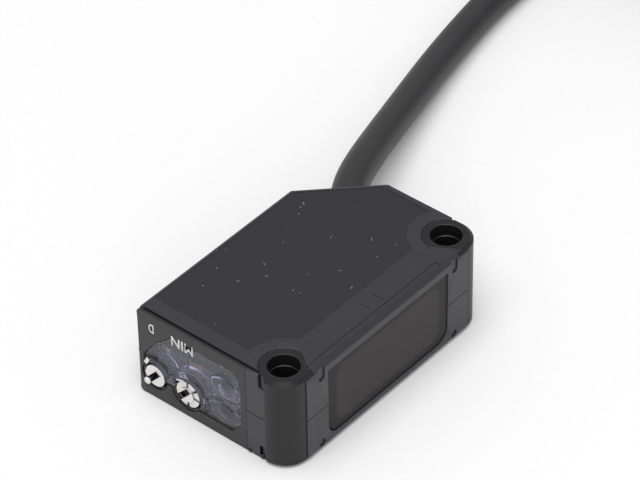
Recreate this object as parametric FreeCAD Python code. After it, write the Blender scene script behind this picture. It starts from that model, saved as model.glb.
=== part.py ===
"""Compact photoelectric sensor on its side, with its cable: one STEP file for each piece.

Frame: millimetres, +Z up through the 11.2 mm thickness, +X along the body from the adjuster
end to the cable end, +Y from the lens face to the back. The origin is the middle of the
bottom face. The free cable lies on the same surface as the body, z = 0.
"""

import FreeCAD, Part
import math
import os

from FreeCAD import Vector

# ---- body ---------------------------------------------------------------------------------
HOLE_PITCH = 25.4  # between the two mounting screws
SLEEVE_R = 2.8  # outside of the round corner posts
BODY_DEPTH = 20.0
BODY_HEIGHT = 11.2
HOLE_SETBACK = 2.9  # lens face to the screw axes
END_INSET = 0.26  # end faces sit this far inside the corner posts
CHAMFER_LEG = 6.9  # cable corner
WALL = 1.0
FRONT_WALL = 1.9
EDGE_R = 0.6  # rounding of the back and cable-corner edges
FRONT_BEVEL = 0.5  # along the top and bottom of the lens face
PARTING = 5.45  # height of the joint between the two half shells
SEAM = 0.1  # width and depth of the visible joint grooves
FIELD_RECESS = 0.04  # textured field below the smooth band
BAND_FRONT = 4.15  # smooth band along the lens face
BAND_END = 1.55  # smooth band along the adjuster end
BAND_HOLE_R = 4.0  # smooth ring round each screw hole
LEDGE_FROM = 0.5  # shallow ledge behind the top front edge
LEDGE_TO = 1.13
LEDGE_DEPTH = 0.06
SLOT_Y0 = 1.2  # snap slots beside the posts, from the screw axis
SLOT_WIDTH = 0.95
SLOT_TOP = 1.8
SLOT_BOTTOM = 1.7
SLOT_DEPTH = 0.7
MARK_IN = 2.25  # moulding marks on the lens face, from the screw axes
MARK_R = 0.45
MARK_DEPTH = 0.15
MARK_Z = 1.0
RELIEF_DROP = 1.5
TICK_X = 0.95  # two fine ticks on the smooth band
TICK_WIDTH = 0.07
TICK_GAP = 0.35
TICK_LENGTH = 1.5

# ---- corner posts -------------------------------------------------------------------------
RING_R = 2.55  # inner outline of a post on the top face
POST_FRONT = 1.4  # post runs on along the lens face by this much
POST_CUT = (1.25, -2.1)  # corner of the flat on the lens side, from the screw axis
BORE_R = 1.65  # clearance for an M3 screw
POST_EDGE = 0.4

# ---- lens side ----------------------------------------------------------------------------
WINDOW_SIDE = 3.3  # from each screw axis to the window
WINDOW_LOW, WINDOW_HIGH = 1.1, 1.35  # from the bottom and from the top of the body
WINDOW_GAP = 0.12
WINDOW_RECESS = 0.12
WINDOW_CORNER = 1.4  # lower corners
WINDOW_T = 0.9
GASKET_T = 0.25
LEDGE_WIDTH = 0.7
LENS_SIDE = 1.4  # window edge to lens
LENS_GAP = 0.4  # between the lenses
LENS_MARGIN = 0.875  # above and below a lens
LENS_EDGE_T = 0.8
LENS_BULGE = 0.9
HOLDER_DEPTH = 3.9
HOLDER_RIM = 0.45
TUNNEL = 4.4
OPTICS_BOARD_T = 0.6
FIT = 0.05  # assembly clearance between inner pieces

# ---- adjuster end -------------------------------------------------------------------------
PANEL_T = 0.37
PANEL_GROOVE = 0.12
PANEL_TOP_DROP = 0.2
PANEL_CORNER = 0.5
PLUG_DEPTH = 1.0
PLUG_LIP = 0.1  # plug opening inside the wall
CLEAR_RECESS = 0.25  # clear moulding behind the face of the mask
CLEAR_FLANGE = 0.3
MODE_IN, MODE_Z, MODE_R = 1.0, 2.9, 1.28  # mode knob: axis inside the back wall, height, radius
GAIN_PITCH, GAIN_Z, GAIN_R = 4.28, 2.75, 1.55  # sensitivity knob: from the mode knob, height, radius
STABILITY_DOME = (2.6, 5.6)  # from the lens side of the mask, and height
OPERATION_DOME = (3.4, 3.0)
CLEAR_SIDE = 0.8  # mask edge to the clear moulding, on the lens side
CLEAR_LEFT_Z = 5.35  # heights of the clear outline's corners
CLEAR_LOW_Z = 1.5
CLEAR_DROP = 1.7  # top of the clear outline below the top face
WELL_GAP = 0.3  # round each knob
WELL_RIM = 0.1  # of the mask outside each well
KNOB_T = 1.25
KNOB_RECESS = 0.04
SHAFT_R = 0.7
SHAFT_FIT = 0.04
SEAL_R = 0.98
SEAL_T = 0.45
KNOB_CLEAR = 0.12  # behind a knob, before its seal
SHAFT_END = 1.6  # past the seals
SWITCH_BODY = (3.2, 2.5)  # depth, width
SWITCH_SHIFT = 0.4  # switch body, from its shaft towards the lens face
POT_BODY = (3.6, 4.0)
KNOB_SLOT = 0.66
SLOT_FLOOR, SLOT_TRENCH = 0.35, 0.9  # depth before and past the knob's middle
GAIN_SLOT_SHIFT = 0.25  # the sensitivity knob's slot is off its middle
GAIN_HUB = 0.55  # share of its radius that stands above its petals
PETAL_DROP = 0.15
SLIT = 0.24
SLIT_TURNS = (137, 187, 238, 318)  # between the petals, from the slot
KNOB_TURN = -48  # rest angle of both slots, from +Y towards +Z
DOME_R = 0.95
DOME_PROUD = 0.15

# ---- inside -------------------------------------------------------------------------------
BOARD_DROP = 0.2  # underside of the board below the parting
BOARD_T = 0.8
BOARD_BACK = 0.3  # board edge to the back wall
CHIP = (4.6, 4.4, 0.9)
CHIP_X, CHIP_Y = -1.6, 2.2
LED_SIZE = (1.2, 1.6, 1.0)
DIODE_SIZE = (2.4, 2.4, 0.9)
SHIELD_T = 0.15
CORE_R = 0.55
CORE_PADS = (-0.8, 1.2, 3.2)  # y of the three pads
PAD_REACH = 4.2

# ---- cable --------------------------------------------------------------------------------
CABLE_R = 1.9
CABLE_SHIFT = 1.0  # exit, along the chamfer from its middle towards the end face
CABLE_INSIDE = 3.2
BUSHING_WALL = 0.8
BUSHING_NOSE_WALL = 0.3
BUSHING_PROUD = 0.8
BUSHING_FLANGE = 0.4
BUSHING_FLANGE_T = 0.7
CLAMP_WALL = 0.6
CLAMP_T = 1.1
# Route of the free cable after its exit, chosen by hand: x, y, z.
CABLE_ROUTE = [
    (13.56, 6.90, 5.60),
    (15.92, 8.75, 5.60),
    (18.53, 10.23, 5.52),
    (21.86, 11.61, 5.20),
    (26.75, 13.39, 4.35),
    (34.33, 15.96, 3.10),
    (45.84, 19.37, 2.10),
    (58.60, 21.75, 1.93),
    (74.50, 22.30, 1.92),
]
HANK_X0 = 73.0  # near end of the folded length
HANK_RUN = 61.7
HANK_TRACKS = 2
HANK_LAYERS = 5
HANK_TURN = 6  # radius of the innermost turn, in cable radii
TIE_WIDTH = 4.0
TIE_T = 0.8
JACKET_END = 6.0  # past the start of the last run
LEAD_R = 0.6
LEAD_LENGTH = 34.0
LEAD_SPREAD = 1.25
TIP_R = 0.34
TIP_LENGTH = 6.0

# ---- worked out ---------------------------------------------------------------------------
HALF = HOLE_PITCH / 2 + SLEEVE_R
X_END = HALF - END_INSET
Y_FRONT, Y_BACK = -BODY_DEPTH / 2, BODY_DEPTH / 2
HOLE_X, HOLE_Y = HOLE_PITCH / 2, Y_FRONT + HOLE_SETBACK
TOP = BODY_HEIGHT
CASE_END = X_END - PANEL_T - PANEL_GROOVE  # of the case behind the mask
ROOM_Z0, ROOM_Z1 = WALL, TOP - WALL
WINDOW_HALF = HOLE_X - WINDOW_SIDE
WINDOW_Z0, WINDOW_Z1 = WINDOW_LOW, TOP - WINDOW_HIGH
LENS_WIDTH = WINDOW_HALF - LENS_SIDE - LENS_GAP / 2
LENS_HEIGHT = WINDOW_Z1 - WINDOW_Z0 - 2 * LENS_MARGIN
LENS_X, LENS_Z = (LENS_WIDTH + LENS_GAP) / 2, (WINDOW_Z0 + WINDOW_Z1) / 2
HOLDER_HALF = LENS_X + LENS_WIDTH / 2 + HOLDER_RIM
HOLDER_TALL = LENS_HEIGHT / 2 + HOLDER_RIM
WINDOW_Y = Y_FRONT + WINDOW_RECESS
GASKET_Y = WINDOW_Y + WINDOW_T
LEDGE_Y = GASKET_Y + GASKET_T
ROOM_Y0 = Y_FRONT + FRONT_WALL
HOLDER_Y1 = ROOM_Y0 + HOLDER_DEPTH
OPTICS_Y1 = HOLDER_Y1 + OPTICS_BOARD_T
BOARD_Y0 = max(OPTICS_Y1, HOLE_Y + RING_R + WALL) + FIT
BOARD_Y1 = Y_BACK - WALL - BOARD_BACK
BOARD_Z0 = PARTING - BOARD_DROP
PANEL_Y0 = HOLE_Y + SLEEVE_R
PLUG_INSET = WALL + PLUG_LIP
MODE_Y = Y_BACK - WALL - MODE_IN
GAIN_Y = MODE_Y - GAIN_PITCH
CLEAR_X0 = -X_END + CLEAR_RECESS
PLUG_X1 = -CASE_END + PLUG_DEPTH
CLEAR_X1 = PLUG_X1 + CLEAR_FLANGE
BOARD_X0 = CLEAR_X1 + FIT
KNOB_X0 = -X_END + KNOB_RECESS
KNOB_X1 = KNOB_X0 + KNOB_T
SEAL_X0 = KNOB_X1 + KNOB_CLEAR
SEAL_X1 = SEAL_X0 + SEAL_T
SHAFT_X1 = SEAL_X1 + SHAFT_END
CABLE_Z = BODY_HEIGHT / 2
CABLE_D = 2 * CABLE_R
HALF_ROOT = math.sqrt(0.5)
CHAMFER_MID_X = X_END - CHAMFER_LEG / 2
CHAMFER_MID_Y = Y_BACK - CHAMFER_LEG / 2
EXIT = Vector(CHAMFER_MID_X + CABLE_SHIFT * HALF_ROOT, CHAMFER_MID_Y - CABLE_SHIFT * HALF_ROOT, CABLE_Z)
EXIT_DIR = Vector(HALF_ROOT, HALF_ROOT, 0)
BOARD_X1 = EXIT.x - CABLE_INSIDE - CABLE_R
BUSHING_R = CABLE_R + BUSHING_WALL
HANK_INNER_R = HANK_TURN * CABLE_R
HANK_OUTER_R = HANK_INNER_R + (HANK_TRACKS - 1) * CABLE_D
HANK_EDGE_R = HANK_OUTER_R + CABLE_R
HANK_X = HANK_X0 + HANK_EDGE_R  # start of its straight runs
HANK_Y = CABLE_ROUTE[-1][1] - HANK_OUTER_R
HANK_TOP = HANK_LAYERS * CABLE_D


def save(name, shape):
    """Write one piece, and print its number of solids and its volume."""
    shape.exportStep("parts/" + name + ".step")
    print(f"{name}: {len(shape.Solids)} solid, {shape.Volume:.2f} mm3")


def block(x0, x1, y0, y1, z0, z1):
    return Part.makeBox(x1 - x0, y1 - y0, z1 - z0, Vector(x0, y0, z0))


def prism(points, z0, z1):
    """Upright prism on a closed outline of x, y points."""
    corners = [Vector(x, y, z0) for x, y in points]
    face = Part.Face(Part.makePolygon(corners + corners[:1]))
    return face.extrude(Vector(0, 0, z1 - z0))


def end_prism(points, x0, x1):
    """Prism along X on a closed outline of y, z points."""
    corners = [Vector(x0, y, z) for y, z in points]
    face = Part.Face(Part.makePolygon(corners + corners[:1]))
    return face.extrude(Vector(x1 - x0, 0, 0))


def rod_x(radius, x0, x1, y, z):
    return Part.makeCylinder(radius, x1 - x0, Vector(x0, y, z), Vector(1, 0, 0))


def rod_z(radius, z0, z1, x, y):
    return Part.makeCylinder(radius, z1 - z0, Vector(x, y, z0), Vector(0, 0, 1))


def mirrored(shape):
    """The same piece at the other end of the body."""
    return shape.mirror(Vector(0, 0, 0), Vector(1, 0, 0))


def rounded(shape, radius, chosen):
    """Round the edges that the test chooses."""
    edges = [e for e in shape.Edges if chosen(e)]
    return shape.makeFillet(radius, edges)


def upright(edge):
    a, b = edge.Vertexes[0].Point, edge.Vertexes[-1].Point
    return abs(a.x - b.x) < 1e-6 and abs(a.y - b.y) < 1e-6 and abs(a.z - b.z) > 1e-6


def at_face(edge):
    """True for an edge in the top or the bottom face."""
    z = edge.CenterOfMass.z
    return abs(z) < 1e-6 or abs(z - TOP) < 1e-6


def along(edge, axis):
    """True where a straight edge runs along one axis."""
    a, b = edge.Vertexes[0].Point, edge.Vertexes[-1].Point
    gaps = [abs(a.x - b.x), abs(a.y - b.y), abs(a.z - b.z)]
    return gaps[axis] > 1e-6 and sum(gaps) - gaps[axis] < 1e-6


def route_wire(points, report=None):
    """Straight runs joined by tangent arcs, each as large as its two runs allow."""
    stops = [Vector(*p) for p in points]
    edges, here = [], stops[0]
    for before, corner, after in zip(stops, stops[1:], stops[2:]):
        back, on = before - corner, after - corner
        turn = math.pi - back.getAngle(on)
        reach = 0.45 * min(back.Length, on.Length)
        radius = reach / math.tan(turn / 2)
        back.normalize()
        on.normalize()
        start, end = corner + back * reach, corner + on * reach
        inward = back + on
        inward.normalize()
        middle = corner + inward * (radius / math.cos(turn / 2) - radius)
        edges += [Part.LineSegment(here, start).toShape(), Part.Arc(start, middle, end).toShape()]
        here = end
        if report:
            print(f"{report}: turn {math.degrees(turn):.1f} deg, radius {radius:.1f} mm")
    edges.append(Part.LineSegment(here, stops[-1]).toShape())
    return Part.Wire(edges)


def tube_along(points, radius, report=None):
    """Round rod swept along a route, with its volume compared with section times length."""
    wire = route_wire(points, report)
    start = Vector(*points[0])
    heading = Vector(*points[1]) - start
    ring = Part.Wire(Part.makeCircle(radius, start, heading))
    solid = wire.makePipeShell([ring], True, True)
    if report:
        share = solid.Volume / (math.pi * radius**2 * wire.Length)
        print(f"{report}: length {wire.Length:.1f} mm, volume over section x length {share:.4f}")
    return solid


# ---- outlines -----------------------------------------------------------------------------


def body_outline(inset=0.0):
    """Plan of the body with its cable corner cut off."""
    slant = inset * (math.sqrt(2) - 1)
    x1, y1, y0 = X_END - inset, Y_BACK - inset, Y_FRONT + inset
    corner = CHAMFER_LEG - inset + slant
    return [(-x1, y0), (x1, y0), (x1, y1 - corner), (x1 - corner, y1), (-x1, y1)]


def post_plan(grow=0.0):
    """Plan of the corner post at the cable end, round its screw axis, as a face at z = 0."""

    def at(x, y):
        return Vector(HOLE_X - x, HOLE_Y + y, 0)

    outer = SLEEVE_R + grow
    ring = RING_R + grow
    cut_x, cut_y = POST_CUT[0] + grow, POST_CUT[1]
    front = at(POST_FRONT + grow, -outer)
    low, side = at(0, -outer), at(-outer, 0)
    shoulder = at(-outer, SLOT_Y0 - SLOT_WIDTH)
    ring_left = math.radians(170)
    meets = at(ring * math.cos(ring_left), ring * math.sin(ring_left))
    edges = [
        Part.LineSegment(front, low).toShape(),
        Part.Arc(low, at(-outer * HALF_ROOT, -outer * HALF_ROOT), side).toShape(),
        Part.LineSegment(side, shoulder).toShape(),
        Part.LineSegment(shoulder, meets).toShape(),
        Part.Arc(meets, at(0, ring), at(ring, 0)).toShape(),
        Part.LineSegment(at(ring, 0), at(cut_x, cut_y)).toShape(),
        Part.LineSegment(at(cut_x, cut_y), front).toShape(),
    ]
    return Part.Face(Part.Wire(edges))


def clear_outline():
    """Opening of the mask as y, z points, without its two round wells."""
    left, right, high = MODE_Y + MODE_R, PANEL_Y0 + CLEAR_SIDE, TOP - CLEAR_DROP
    return [
        (left, MODE_Z),
        (left, CLEAR_LEFT_Z),
        (left - 1.6, high - 2.0),
        (left - 3.8, high),
        (right + 0.95, high),
        (right, high - 1.1),
        (right, MODE_Z),
        (right + 1.2, CLEAR_LOW_Z),
        (GAIN_Y - GAIN_R, CLEAR_LOW_Z),
        (GAIN_Y + GAIN_R + WELL_GAP, GAIN_Z),
    ]


# ---- case ---------------------------------------------------------------------------------


def case_shell():
    """Both half shells in one piece, before they are parted."""
    shell = prism(body_outline(), 0, TOP)

    def back_edge(edge):
        middle = edge.CenterOfMass
        cut = abs(middle.x + middle.y - (CHAMFER_MID_X + CHAMFER_MID_Y)) < 1e-3
        return at_face(edge) and (abs(middle.y - Y_BACK) < 1e-6 or cut)

    shell = rounded(shell, EDGE_R, back_edge)
    for z, way in ((TOP, -1), (0, 1)):
        bevel = [(Y_FRONT, z), (Y_FRONT, z + way * FRONT_BEVEL), (Y_FRONT + FRONT_BEVEL, z)]
        shell = shell.cut(end_prism(bevel, -X_END, X_END))
    room = prism(body_outline(WALL), ROOM_Z0, ROOM_Z1)
    room = room.cut(block(-HALF, HALF, Y_FRONT, ROOM_Y0, 0, TOP))
    guard = post_plan(WALL).extrude(Vector(0, 0, TOP))
    room = room.cut(guard).cut(mirrored(guard))
    shell = shell.cut(room)
    post = post_plan().extrude(Vector(0, 0, TOP))
    corner = block(HOLE_X, HALF, Y_FRONT, HOLE_Y, 0, TOP)
    shell = shell.cut(corner.fuse(post)).cut(mirrored(corner.fuse(post)))
    return shell


def case_openings(shell):
    """Window, mask end, snap slots, cable hole and the marks on the faces."""
    shell = shell.cut(window_block(0, Y_FRONT, LEDGE_Y))
    shell = shell.cut(window_block(LEDGE_WIDTH, LEDGE_Y, ROOM_Y0))
    shell = shell.cut(block(-X_END, -CASE_END, PANEL_Y0, Y_BACK, 0, TOP))
    plug = block(
        -CASE_END, -X_END + WALL, PANEL_Y0 + PLUG_INSET, Y_BACK - PLUG_INSET, PLUG_INSET, TOP - PLUG_INSET
    )
    shell = shell.cut(plug).cut(wells(WELL_GAP, -CASE_END, SEAL_X0))
    wall_y0 = HOLE_Y + SLOT_Y0
    shell = shell.cut(block(-X_END, -CASE_END, wall_y0, PANEL_Y0, TOP - PANEL_TOP_DROP, TOP))
    shell = shell.cut(
        block(-CASE_END - PANEL_GROOVE, -CASE_END, wall_y0, PANEL_Y0, TOP - 3 * PANEL_TOP_DROP, TOP)
    )
    for way in (-1, 1):
        outer, inner = way * X_END, way * (X_END - SLOT_DEPTH)
        x0, x1 = min(outer, inner), max(outer, inner)
        y0 = HOLE_Y + SLOT_Y0 - SLOT_WIDTH
        shell = shell.cut(block(x0, x1, y0, y0 + SLOT_WIDTH, TOP - SLOT_TOP, TOP))
        shell = shell.cut(block(x0, x1, y0, y0 + SLOT_WIDTH, 0, SLOT_BOTTOM))
    shell = shell.cut(Part.makeCylinder(BUSHING_R, 3 * WALL, EXIT - EXIT_DIR * 2 * WALL, EXIT_DIR))
    return shell.cut(face_marks()).cut(textured_field())


def face_marks():
    """Ledge behind the front edge, dots and reliefs beside the window, ticks on the band."""
    low, deep = TOP - LEDGE_DEPTH, Y_FRONT + MARK_DEPTH
    tick_y = Y_FRONT + LEDGE_TO + TICK_GAP
    ledge_x0, ledge_x1 = -HOLE_X + POST_CUT[0], HOLE_X - BAND_HOLE_R
    marks = [block(ledge_x0, ledge_x1, Y_FRONT + LEDGE_FROM, Y_FRONT + LEDGE_TO, low, TOP)]
    for x in (MARK_IN - HOLE_X, HOLE_X - MARK_IN):
        for z in (MARK_Z, TOP - RELIEF_DROP):
            marks.append(Part.makeCylinder(MARK_R, MARK_DEPTH, Vector(x, Y_FRONT, z), Vector(0, 1, 0)))
        marks.append(block(x - MARK_R, x + MARK_R, Y_FRONT, deep, TOP - RELIEF_DROP, TOP))
    for x in (-TICK_X, TICK_X):
        half = TICK_WIDTH / 2
        marks.append(block(x - half, x + half, tick_y, tick_y + TICK_LENGTH, low, TOP))
    return marks[0].fuse(marks[1:])


def textured_field():
    """The shallow recess of the textured field on the top face."""
    x0, y0 = -CASE_END + BAND_END, Y_FRONT + BAND_FRONT
    field = prism(body_outline(EDGE_R + FIELD_RECESS), TOP - FIELD_RECESS, TOP)
    field = field.common(block(x0, HALF, y0, Y_BACK, 0, TOP))
    for x in (-HOLE_X, HOLE_X):
        field = field.cut(rod_z(BAND_HOLE_R, 0, TOP, x, HOLE_Y))
    return field


def parting_groove():
    """Groove that shows where the half shells meet, all round the body."""
    low, high = PARTING - SEAM / 2, PARTING + SEAM / 2
    around = prism(body_outline(-SEAM), low, high).cut(prism(body_outline(SEAM), low, high))
    behind_mask = block(-HALF, -CASE_END + SEAM, PANEL_Y0, Y_BACK, 0, TOP)
    return around.cut(behind_mask)


def half_shells():
    shell = case_openings(case_shell()).cut(parting_groove())
    lower = shell.common(block(-HALF, HALF, Y_FRONT, Y_BACK, 0, PARTING))
    upper = shell.common(block(-HALF, HALF, Y_FRONT, Y_BACK, PARTING, TOP))
    return lower, upper


def mounting_sleeve():
    """Corner post at the cable end, full height, with its screw hole."""
    post = post_plan().extrude(Vector(0, 0, TOP))

    def outer_rim(edge):
        x, y = edge.CenterOfMass.x - HOLE_X, edge.CenterOfMass.y - HOLE_Y
        return at_face(edge) and y < -1 and x > -1 and math.hypot(x, y) > BORE_R

    post = post.makeChamfer(POST_EDGE, [e for e in post.Edges if outer_rim(e)])
    seam = [e for e in post.Edges if upright(e) and abs(e.CenterOfMass.x - HOLE_X + POST_FRONT) < 1e-6]
    post = post.makeChamfer(SEAM, seam)
    return post.cut(rod_z(BORE_R, 0, TOP, HOLE_X, HOLE_Y))


# ---- lens side ----------------------------------------------------------------------------


def window_block(inset, y0, y1, side=0.0):
    """Outline of the window opening, smaller by inset, and by side at its two ends."""
    half = WINDOW_HALF - inset - side
    body = block(-half, half, y0, y1, WINDOW_Z0 + inset, WINDOW_Z1 - inset)
    lower = WINDOW_Z0 + inset + 0.1
    return rounded(body, WINDOW_CORNER - inset, lambda e: along(e, 1) and e.CenterOfMass.z < lower)


def front_window():
    return window_block(FIT, WINDOW_Y, GASKET_Y, WINDOW_GAP - FIT)


def window_gasket():
    ring = window_block(FIT, GASKET_Y, LEDGE_Y, WINDOW_GAP - FIT)
    return ring.cut(window_block(LEDGE_WIDTH, GASKET_Y, LEDGE_Y))


def on_axis(x, half, tall, y0, y1):
    """Box round a lens axis."""
    return block(x - half, x + half, y0, y1, LENS_Z - tall, LENS_Z + tall)


def lens(x):
    """Flat-fronted lens with a bulged back."""
    deep = LENS_EDGE_T + LENS_BULGE
    corner = math.hypot(LENS_WIDTH / 2, LENS_HEIGHT / 2)
    radius = (corner**2 + LENS_BULGE**2) / (2 * LENS_BULGE)
    ball = Part.makeSphere(radius, Vector(x, ROOM_Y0 + deep - radius, LENS_Z))
    return on_axis(x, LENS_WIDTH / 2, LENS_HEIGHT / 2, ROOM_Y0, ROOM_Y0 + deep).common(ball)


def lens_holder():
    """Opaque block with a seat and a tunnel for each lens."""
    holder = on_axis(0, HOLDER_HALF, HOLDER_TALL, ROOM_Y0, HOLDER_Y1)
    for x in (-LENS_X, LENS_X):
        seat_y1 = ROOM_Y0 + LENS_EDGE_T + LENS_BULGE
        holder = holder.cut(on_axis(x, LENS_WIDTH / 2, LENS_HEIGHT / 2, ROOM_Y0, seat_y1))
        holder = holder.cut(on_axis(x, TUNNEL / 2, TUNNEL / 2, ROOM_Y0, HOLDER_Y1))
    return holder


def optics_board():
    return on_axis(0, HOLDER_HALF, HOLDER_TALL, HOLDER_Y1, OPTICS_Y1)


def on_optics(x, size):
    """A small part on the front of the optics board, on a lens axis."""
    wide, tall, deep = size
    return on_axis(x, wide / 2, tall / 2, HOLDER_Y1 - deep, HOLDER_Y1)


def emitter_led():
    wide, _, deep = LED_SIZE
    front = HOLDER_Y1 - deep
    dome = Part.makeSphere(wide / 2, Vector(-LENS_X, front, LENS_Z))
    return on_optics(-LENS_X, LED_SIZE).fuse(dome.common(on_axis(-LENS_X, wide, wide, ROOM_Y0, front)))


def receiver_shield():
    """Metal can over the detector, with a round aperture."""
    wide, tall, deep = DIODE_SIZE
    gap = FIT + SHIELD_T
    outer = on_optics(LENS_X, (wide + 2 * gap, tall + 2 * gap, deep + gap))
    inner = on_optics(LENS_X, (wide + 2 * FIT, tall + 2 * FIT, deep + FIT))
    front = Vector(LENS_X, HOLDER_Y1 - 2 * deep, LENS_Z)
    hole = Part.makeCylinder(wide / 3, 2 * deep, front, Vector(0, 1, 0))
    return outer.cut(inner).cut(hole)


# ---- adjuster end -------------------------------------------------------------------------


def wells(grow, x0, x1):
    """Round rods over both adjusters, larger than the knobs by grow."""
    mode = rod_x(MODE_R + grow, x0, x1, MODE_Y, MODE_Z)
    return mode.fuse(rod_x(GAIN_R + grow, x0, x1, GAIN_Y, GAIN_Z))


def mask_opening(x0, x1):
    return end_prism(clear_outline(), x0, x1).fuse(wells(WELL_GAP + WELL_RIM, x0, x1)).removeSplitter()


def plug_block(x0, x1):
    """What fits the opening in the case behind the mask."""
    gap = PLUG_INSET + FIT
    return block(x0, x1, PANEL_Y0 + gap, Y_BACK - gap, gap, TOP - gap)


def end_panel():
    """Black mask: a face plate with a plug that seats in the case."""
    plate = block(-X_END, -X_END + PANEL_T, PANEL_Y0, Y_BACK, 0, TOP - PANEL_TOP_DROP)
    plate = rounded(plate, PANEL_CORNER, lambda e: along(e, 0) and e.CenterOfMass.y > 0)
    plug = plug_block(-X_END + PANEL_T, PLUG_X1)
    return plate.fuse(plug).cut(mask_opening(-X_END, PLUG_X1)).removeSplitter()


def indicator_window():
    """Clear moulding: fills the mask, with a well for each knob and two domes."""
    back = -X_END + PANEL_T
    body = mask_opening(CLEAR_X0, back).fuse(mask_opening(back, PLUG_X1).common(plug_block(back, PLUG_X1)))
    body = body.fuse(plug_block(PLUG_X1, CLEAR_X1)).cut(wells(WELL_GAP, CLEAR_X0, CLEAR_X1))
    for y, z in (dome_place(STABILITY_DOME), dome_place(OPERATION_DOME)):
        ball = Part.makeSphere(DOME_R, Vector(CLEAR_X0 - DOME_PROUD + DOME_R, y, z))
        body = body.fuse(ball.common(rod_x(DOME_R, -X_END, CLEAR_X0, y, z)))
    return body.removeSplitter()


def dome_place(dome):
    """y, z of an indicator dome."""
    return PANEL_Y0 + dome[0], dome[1]


def knob(y, z, radius, slot_shift=0.0):
    """Round head with a stepped slot, on its shaft. The slot lies along +Y."""
    low, high = z + slot_shift - KNOB_SLOT / 2, z + slot_shift + KNOB_SLOT / 2
    head = rod_x(radius, KNOB_X0, KNOB_X1, y, z)
    head = head.cut(block(KNOB_X0, KNOB_X0 + SLOT_FLOOR, y - 0.6 * radius, y, low, high))
    head = head.cut(block(KNOB_X0, KNOB_X0 + SLOT_TRENCH, y, y + radius, low, high))
    return head.fuse(rod_x(SHAFT_R, KNOB_X1, SHAFT_X1, y, z)).removeSplitter()


def mode_knob():
    return at_rest(knob(MODE_Y, MODE_Z, MODE_R), MODE_Y, MODE_Z)


def sensitivity_knob():
    """Knob with a raised hub and a ring of petals parted by slits."""
    head = knob(GAIN_Y, GAIN_Z, GAIN_R, GAIN_SLOT_SHIFT)
    hub = rod_x(GAIN_HUB * GAIN_R, KNOB_X0, KNOB_X0 + PETAL_DROP, GAIN_Y, GAIN_Z)
    head = head.cut(rod_x(GAIN_R, KNOB_X0, KNOB_X0 + PETAL_DROP, GAIN_Y, GAIN_Z).cut(hub))
    for turn in SLIT_TURNS:
        slit = block(
            KNOB_X0, KNOB_X0 + SLOT_TRENCH, GAIN_Y + GAIN_HUB * GAIN_R, GAIN_Y + GAIN_R,
            GAIN_Z - SLIT / 2, GAIN_Z + SLIT / 2,
        )
        slit.rotate(Vector(0, GAIN_Y, GAIN_Z), Vector(1, 0, 0), turn)
        head = head.cut(slit)
    return at_rest(head, GAIN_Y, GAIN_Z)


def at_rest(head, y, z):
    """A knob turned on its shaft to its rest angle."""
    head.rotate(Vector(0, y, z), Vector(1, 0, 0), KNOB_TURN)
    return head


def seal(y, z):
    return rod_x(SEAL_R, SEAL_X0, SEAL_X1, y, z).cut(rod_x(SHAFT_R + SHAFT_FIT, SEAL_X0, SEAL_X1, y, z))


def adjuster_body(y, z, size, shift=0.0):
    """Box behind a seal, hung under the board, with a bore for the shaft."""
    deep, wide = size
    y0 = y - shift - wide / 2
    body = block(SEAL_X1, SEAL_X1 + deep, y0, y0 + wide, ROOM_Z0 + FIT, BOARD_Z0)
    bore = rod_x(SHAFT_R + SHAFT_FIT, SEAL_X1, SHAFT_X1 + SHAFT_FIT, y, z)
    return body.cut(bore)


# ---- boards and small parts ---------------------------------------------------------------


def circuit_board():
    """Main board, parallel to the large faces, cut back at the cable corner."""
    board = block(BOARD_X0, BOARD_X1, BOARD_Y0, BOARD_Y1, BOARD_Z0, BOARD_Z0 + BOARD_T)
    return board.makeFillet(0.6, [e for e in board.Edges if upright(e) and e.CenterOfMass.x > 0])


def on_board(x, y, size):
    wide, deep, tall = size
    z = BOARD_Z0 + BOARD_T
    return block(x - wide / 2, x + wide / 2, y - deep / 2, y + deep / 2, z, z + tall)


def board_components():
    """Resistors and capacitors on the board's top, as one group."""
    small, tall = (1.0, 0.5, 0.4), (1.6, 0.8, 0.8)
    rows = [(BOARD_X0 + x, y, small) for x in (2.9, 4.5, 6.1) for y in (-1.8, 0.6, 6.4)]
    rows += [(BOARD_X0 + 1.2, y, small) for y in (1.2, 3.6, 6.2)]
    rows += [(BOARD_X1 - x, BOARD_Y1 - 1.9, tall) for x in (6.3, 8.9, 11.5)]
    return Part.makeCompound([on_board(x, y, size) for x, y, size in rows])


def indicator_led(place):
    """Side-looking indicator behind its dome, standing on or hung from the board edge."""
    y, z = place
    top, bottom = (z + 0.9, BOARD_Z0 + BOARD_T) if z > BOARD_Z0 else (BOARD_Z0, z - 0.6)
    low, high = min(top, bottom), max(top, bottom)
    return block(BOARD_X0, BOARD_X0 + 1.0, y - 0.8, y + 0.8, low, high)


# ---- cable --------------------------------------------------------------------------------


def cable_bushing():
    """Rubber bushing in the cable corner, with an inner flange and a tapered nose."""
    inner = EXIT - EXIT_DIR * WALL
    body = Part.makeCylinder(BUSHING_R, WALL, inner, EXIT_DIR)
    nose = Part.makeCone(BUSHING_R, CABLE_R + BUSHING_NOSE_WALL, BUSHING_PROUD, EXIT, EXIT_DIR)
    start = inner - EXIT_DIR * BUSHING_FLANGE_T
    flange = Part.makeCylinder(BUSHING_R + BUSHING_FLANGE, BUSHING_FLANGE_T, start, EXIT_DIR)
    bore = Part.makeCylinder(CABLE_R, 6 * WALL, EXIT - EXIT_DIR * 3 * WALL, EXIT_DIR)
    return body.fuse([nose, flange]).removeSplitter().cut(bore)


def cable_clamp():
    start = EXIT - EXIT_DIR * (WALL + BUSHING_FLANGE_T + CLAMP_T)
    ring = Part.makeCylinder(CABLE_R + CLAMP_WALL, CLAMP_T, start, EXIT_DIR)
    return ring.cut(Part.makeCylinder(CABLE_R, CLAMP_T, start, EXIT_DIR))


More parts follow.
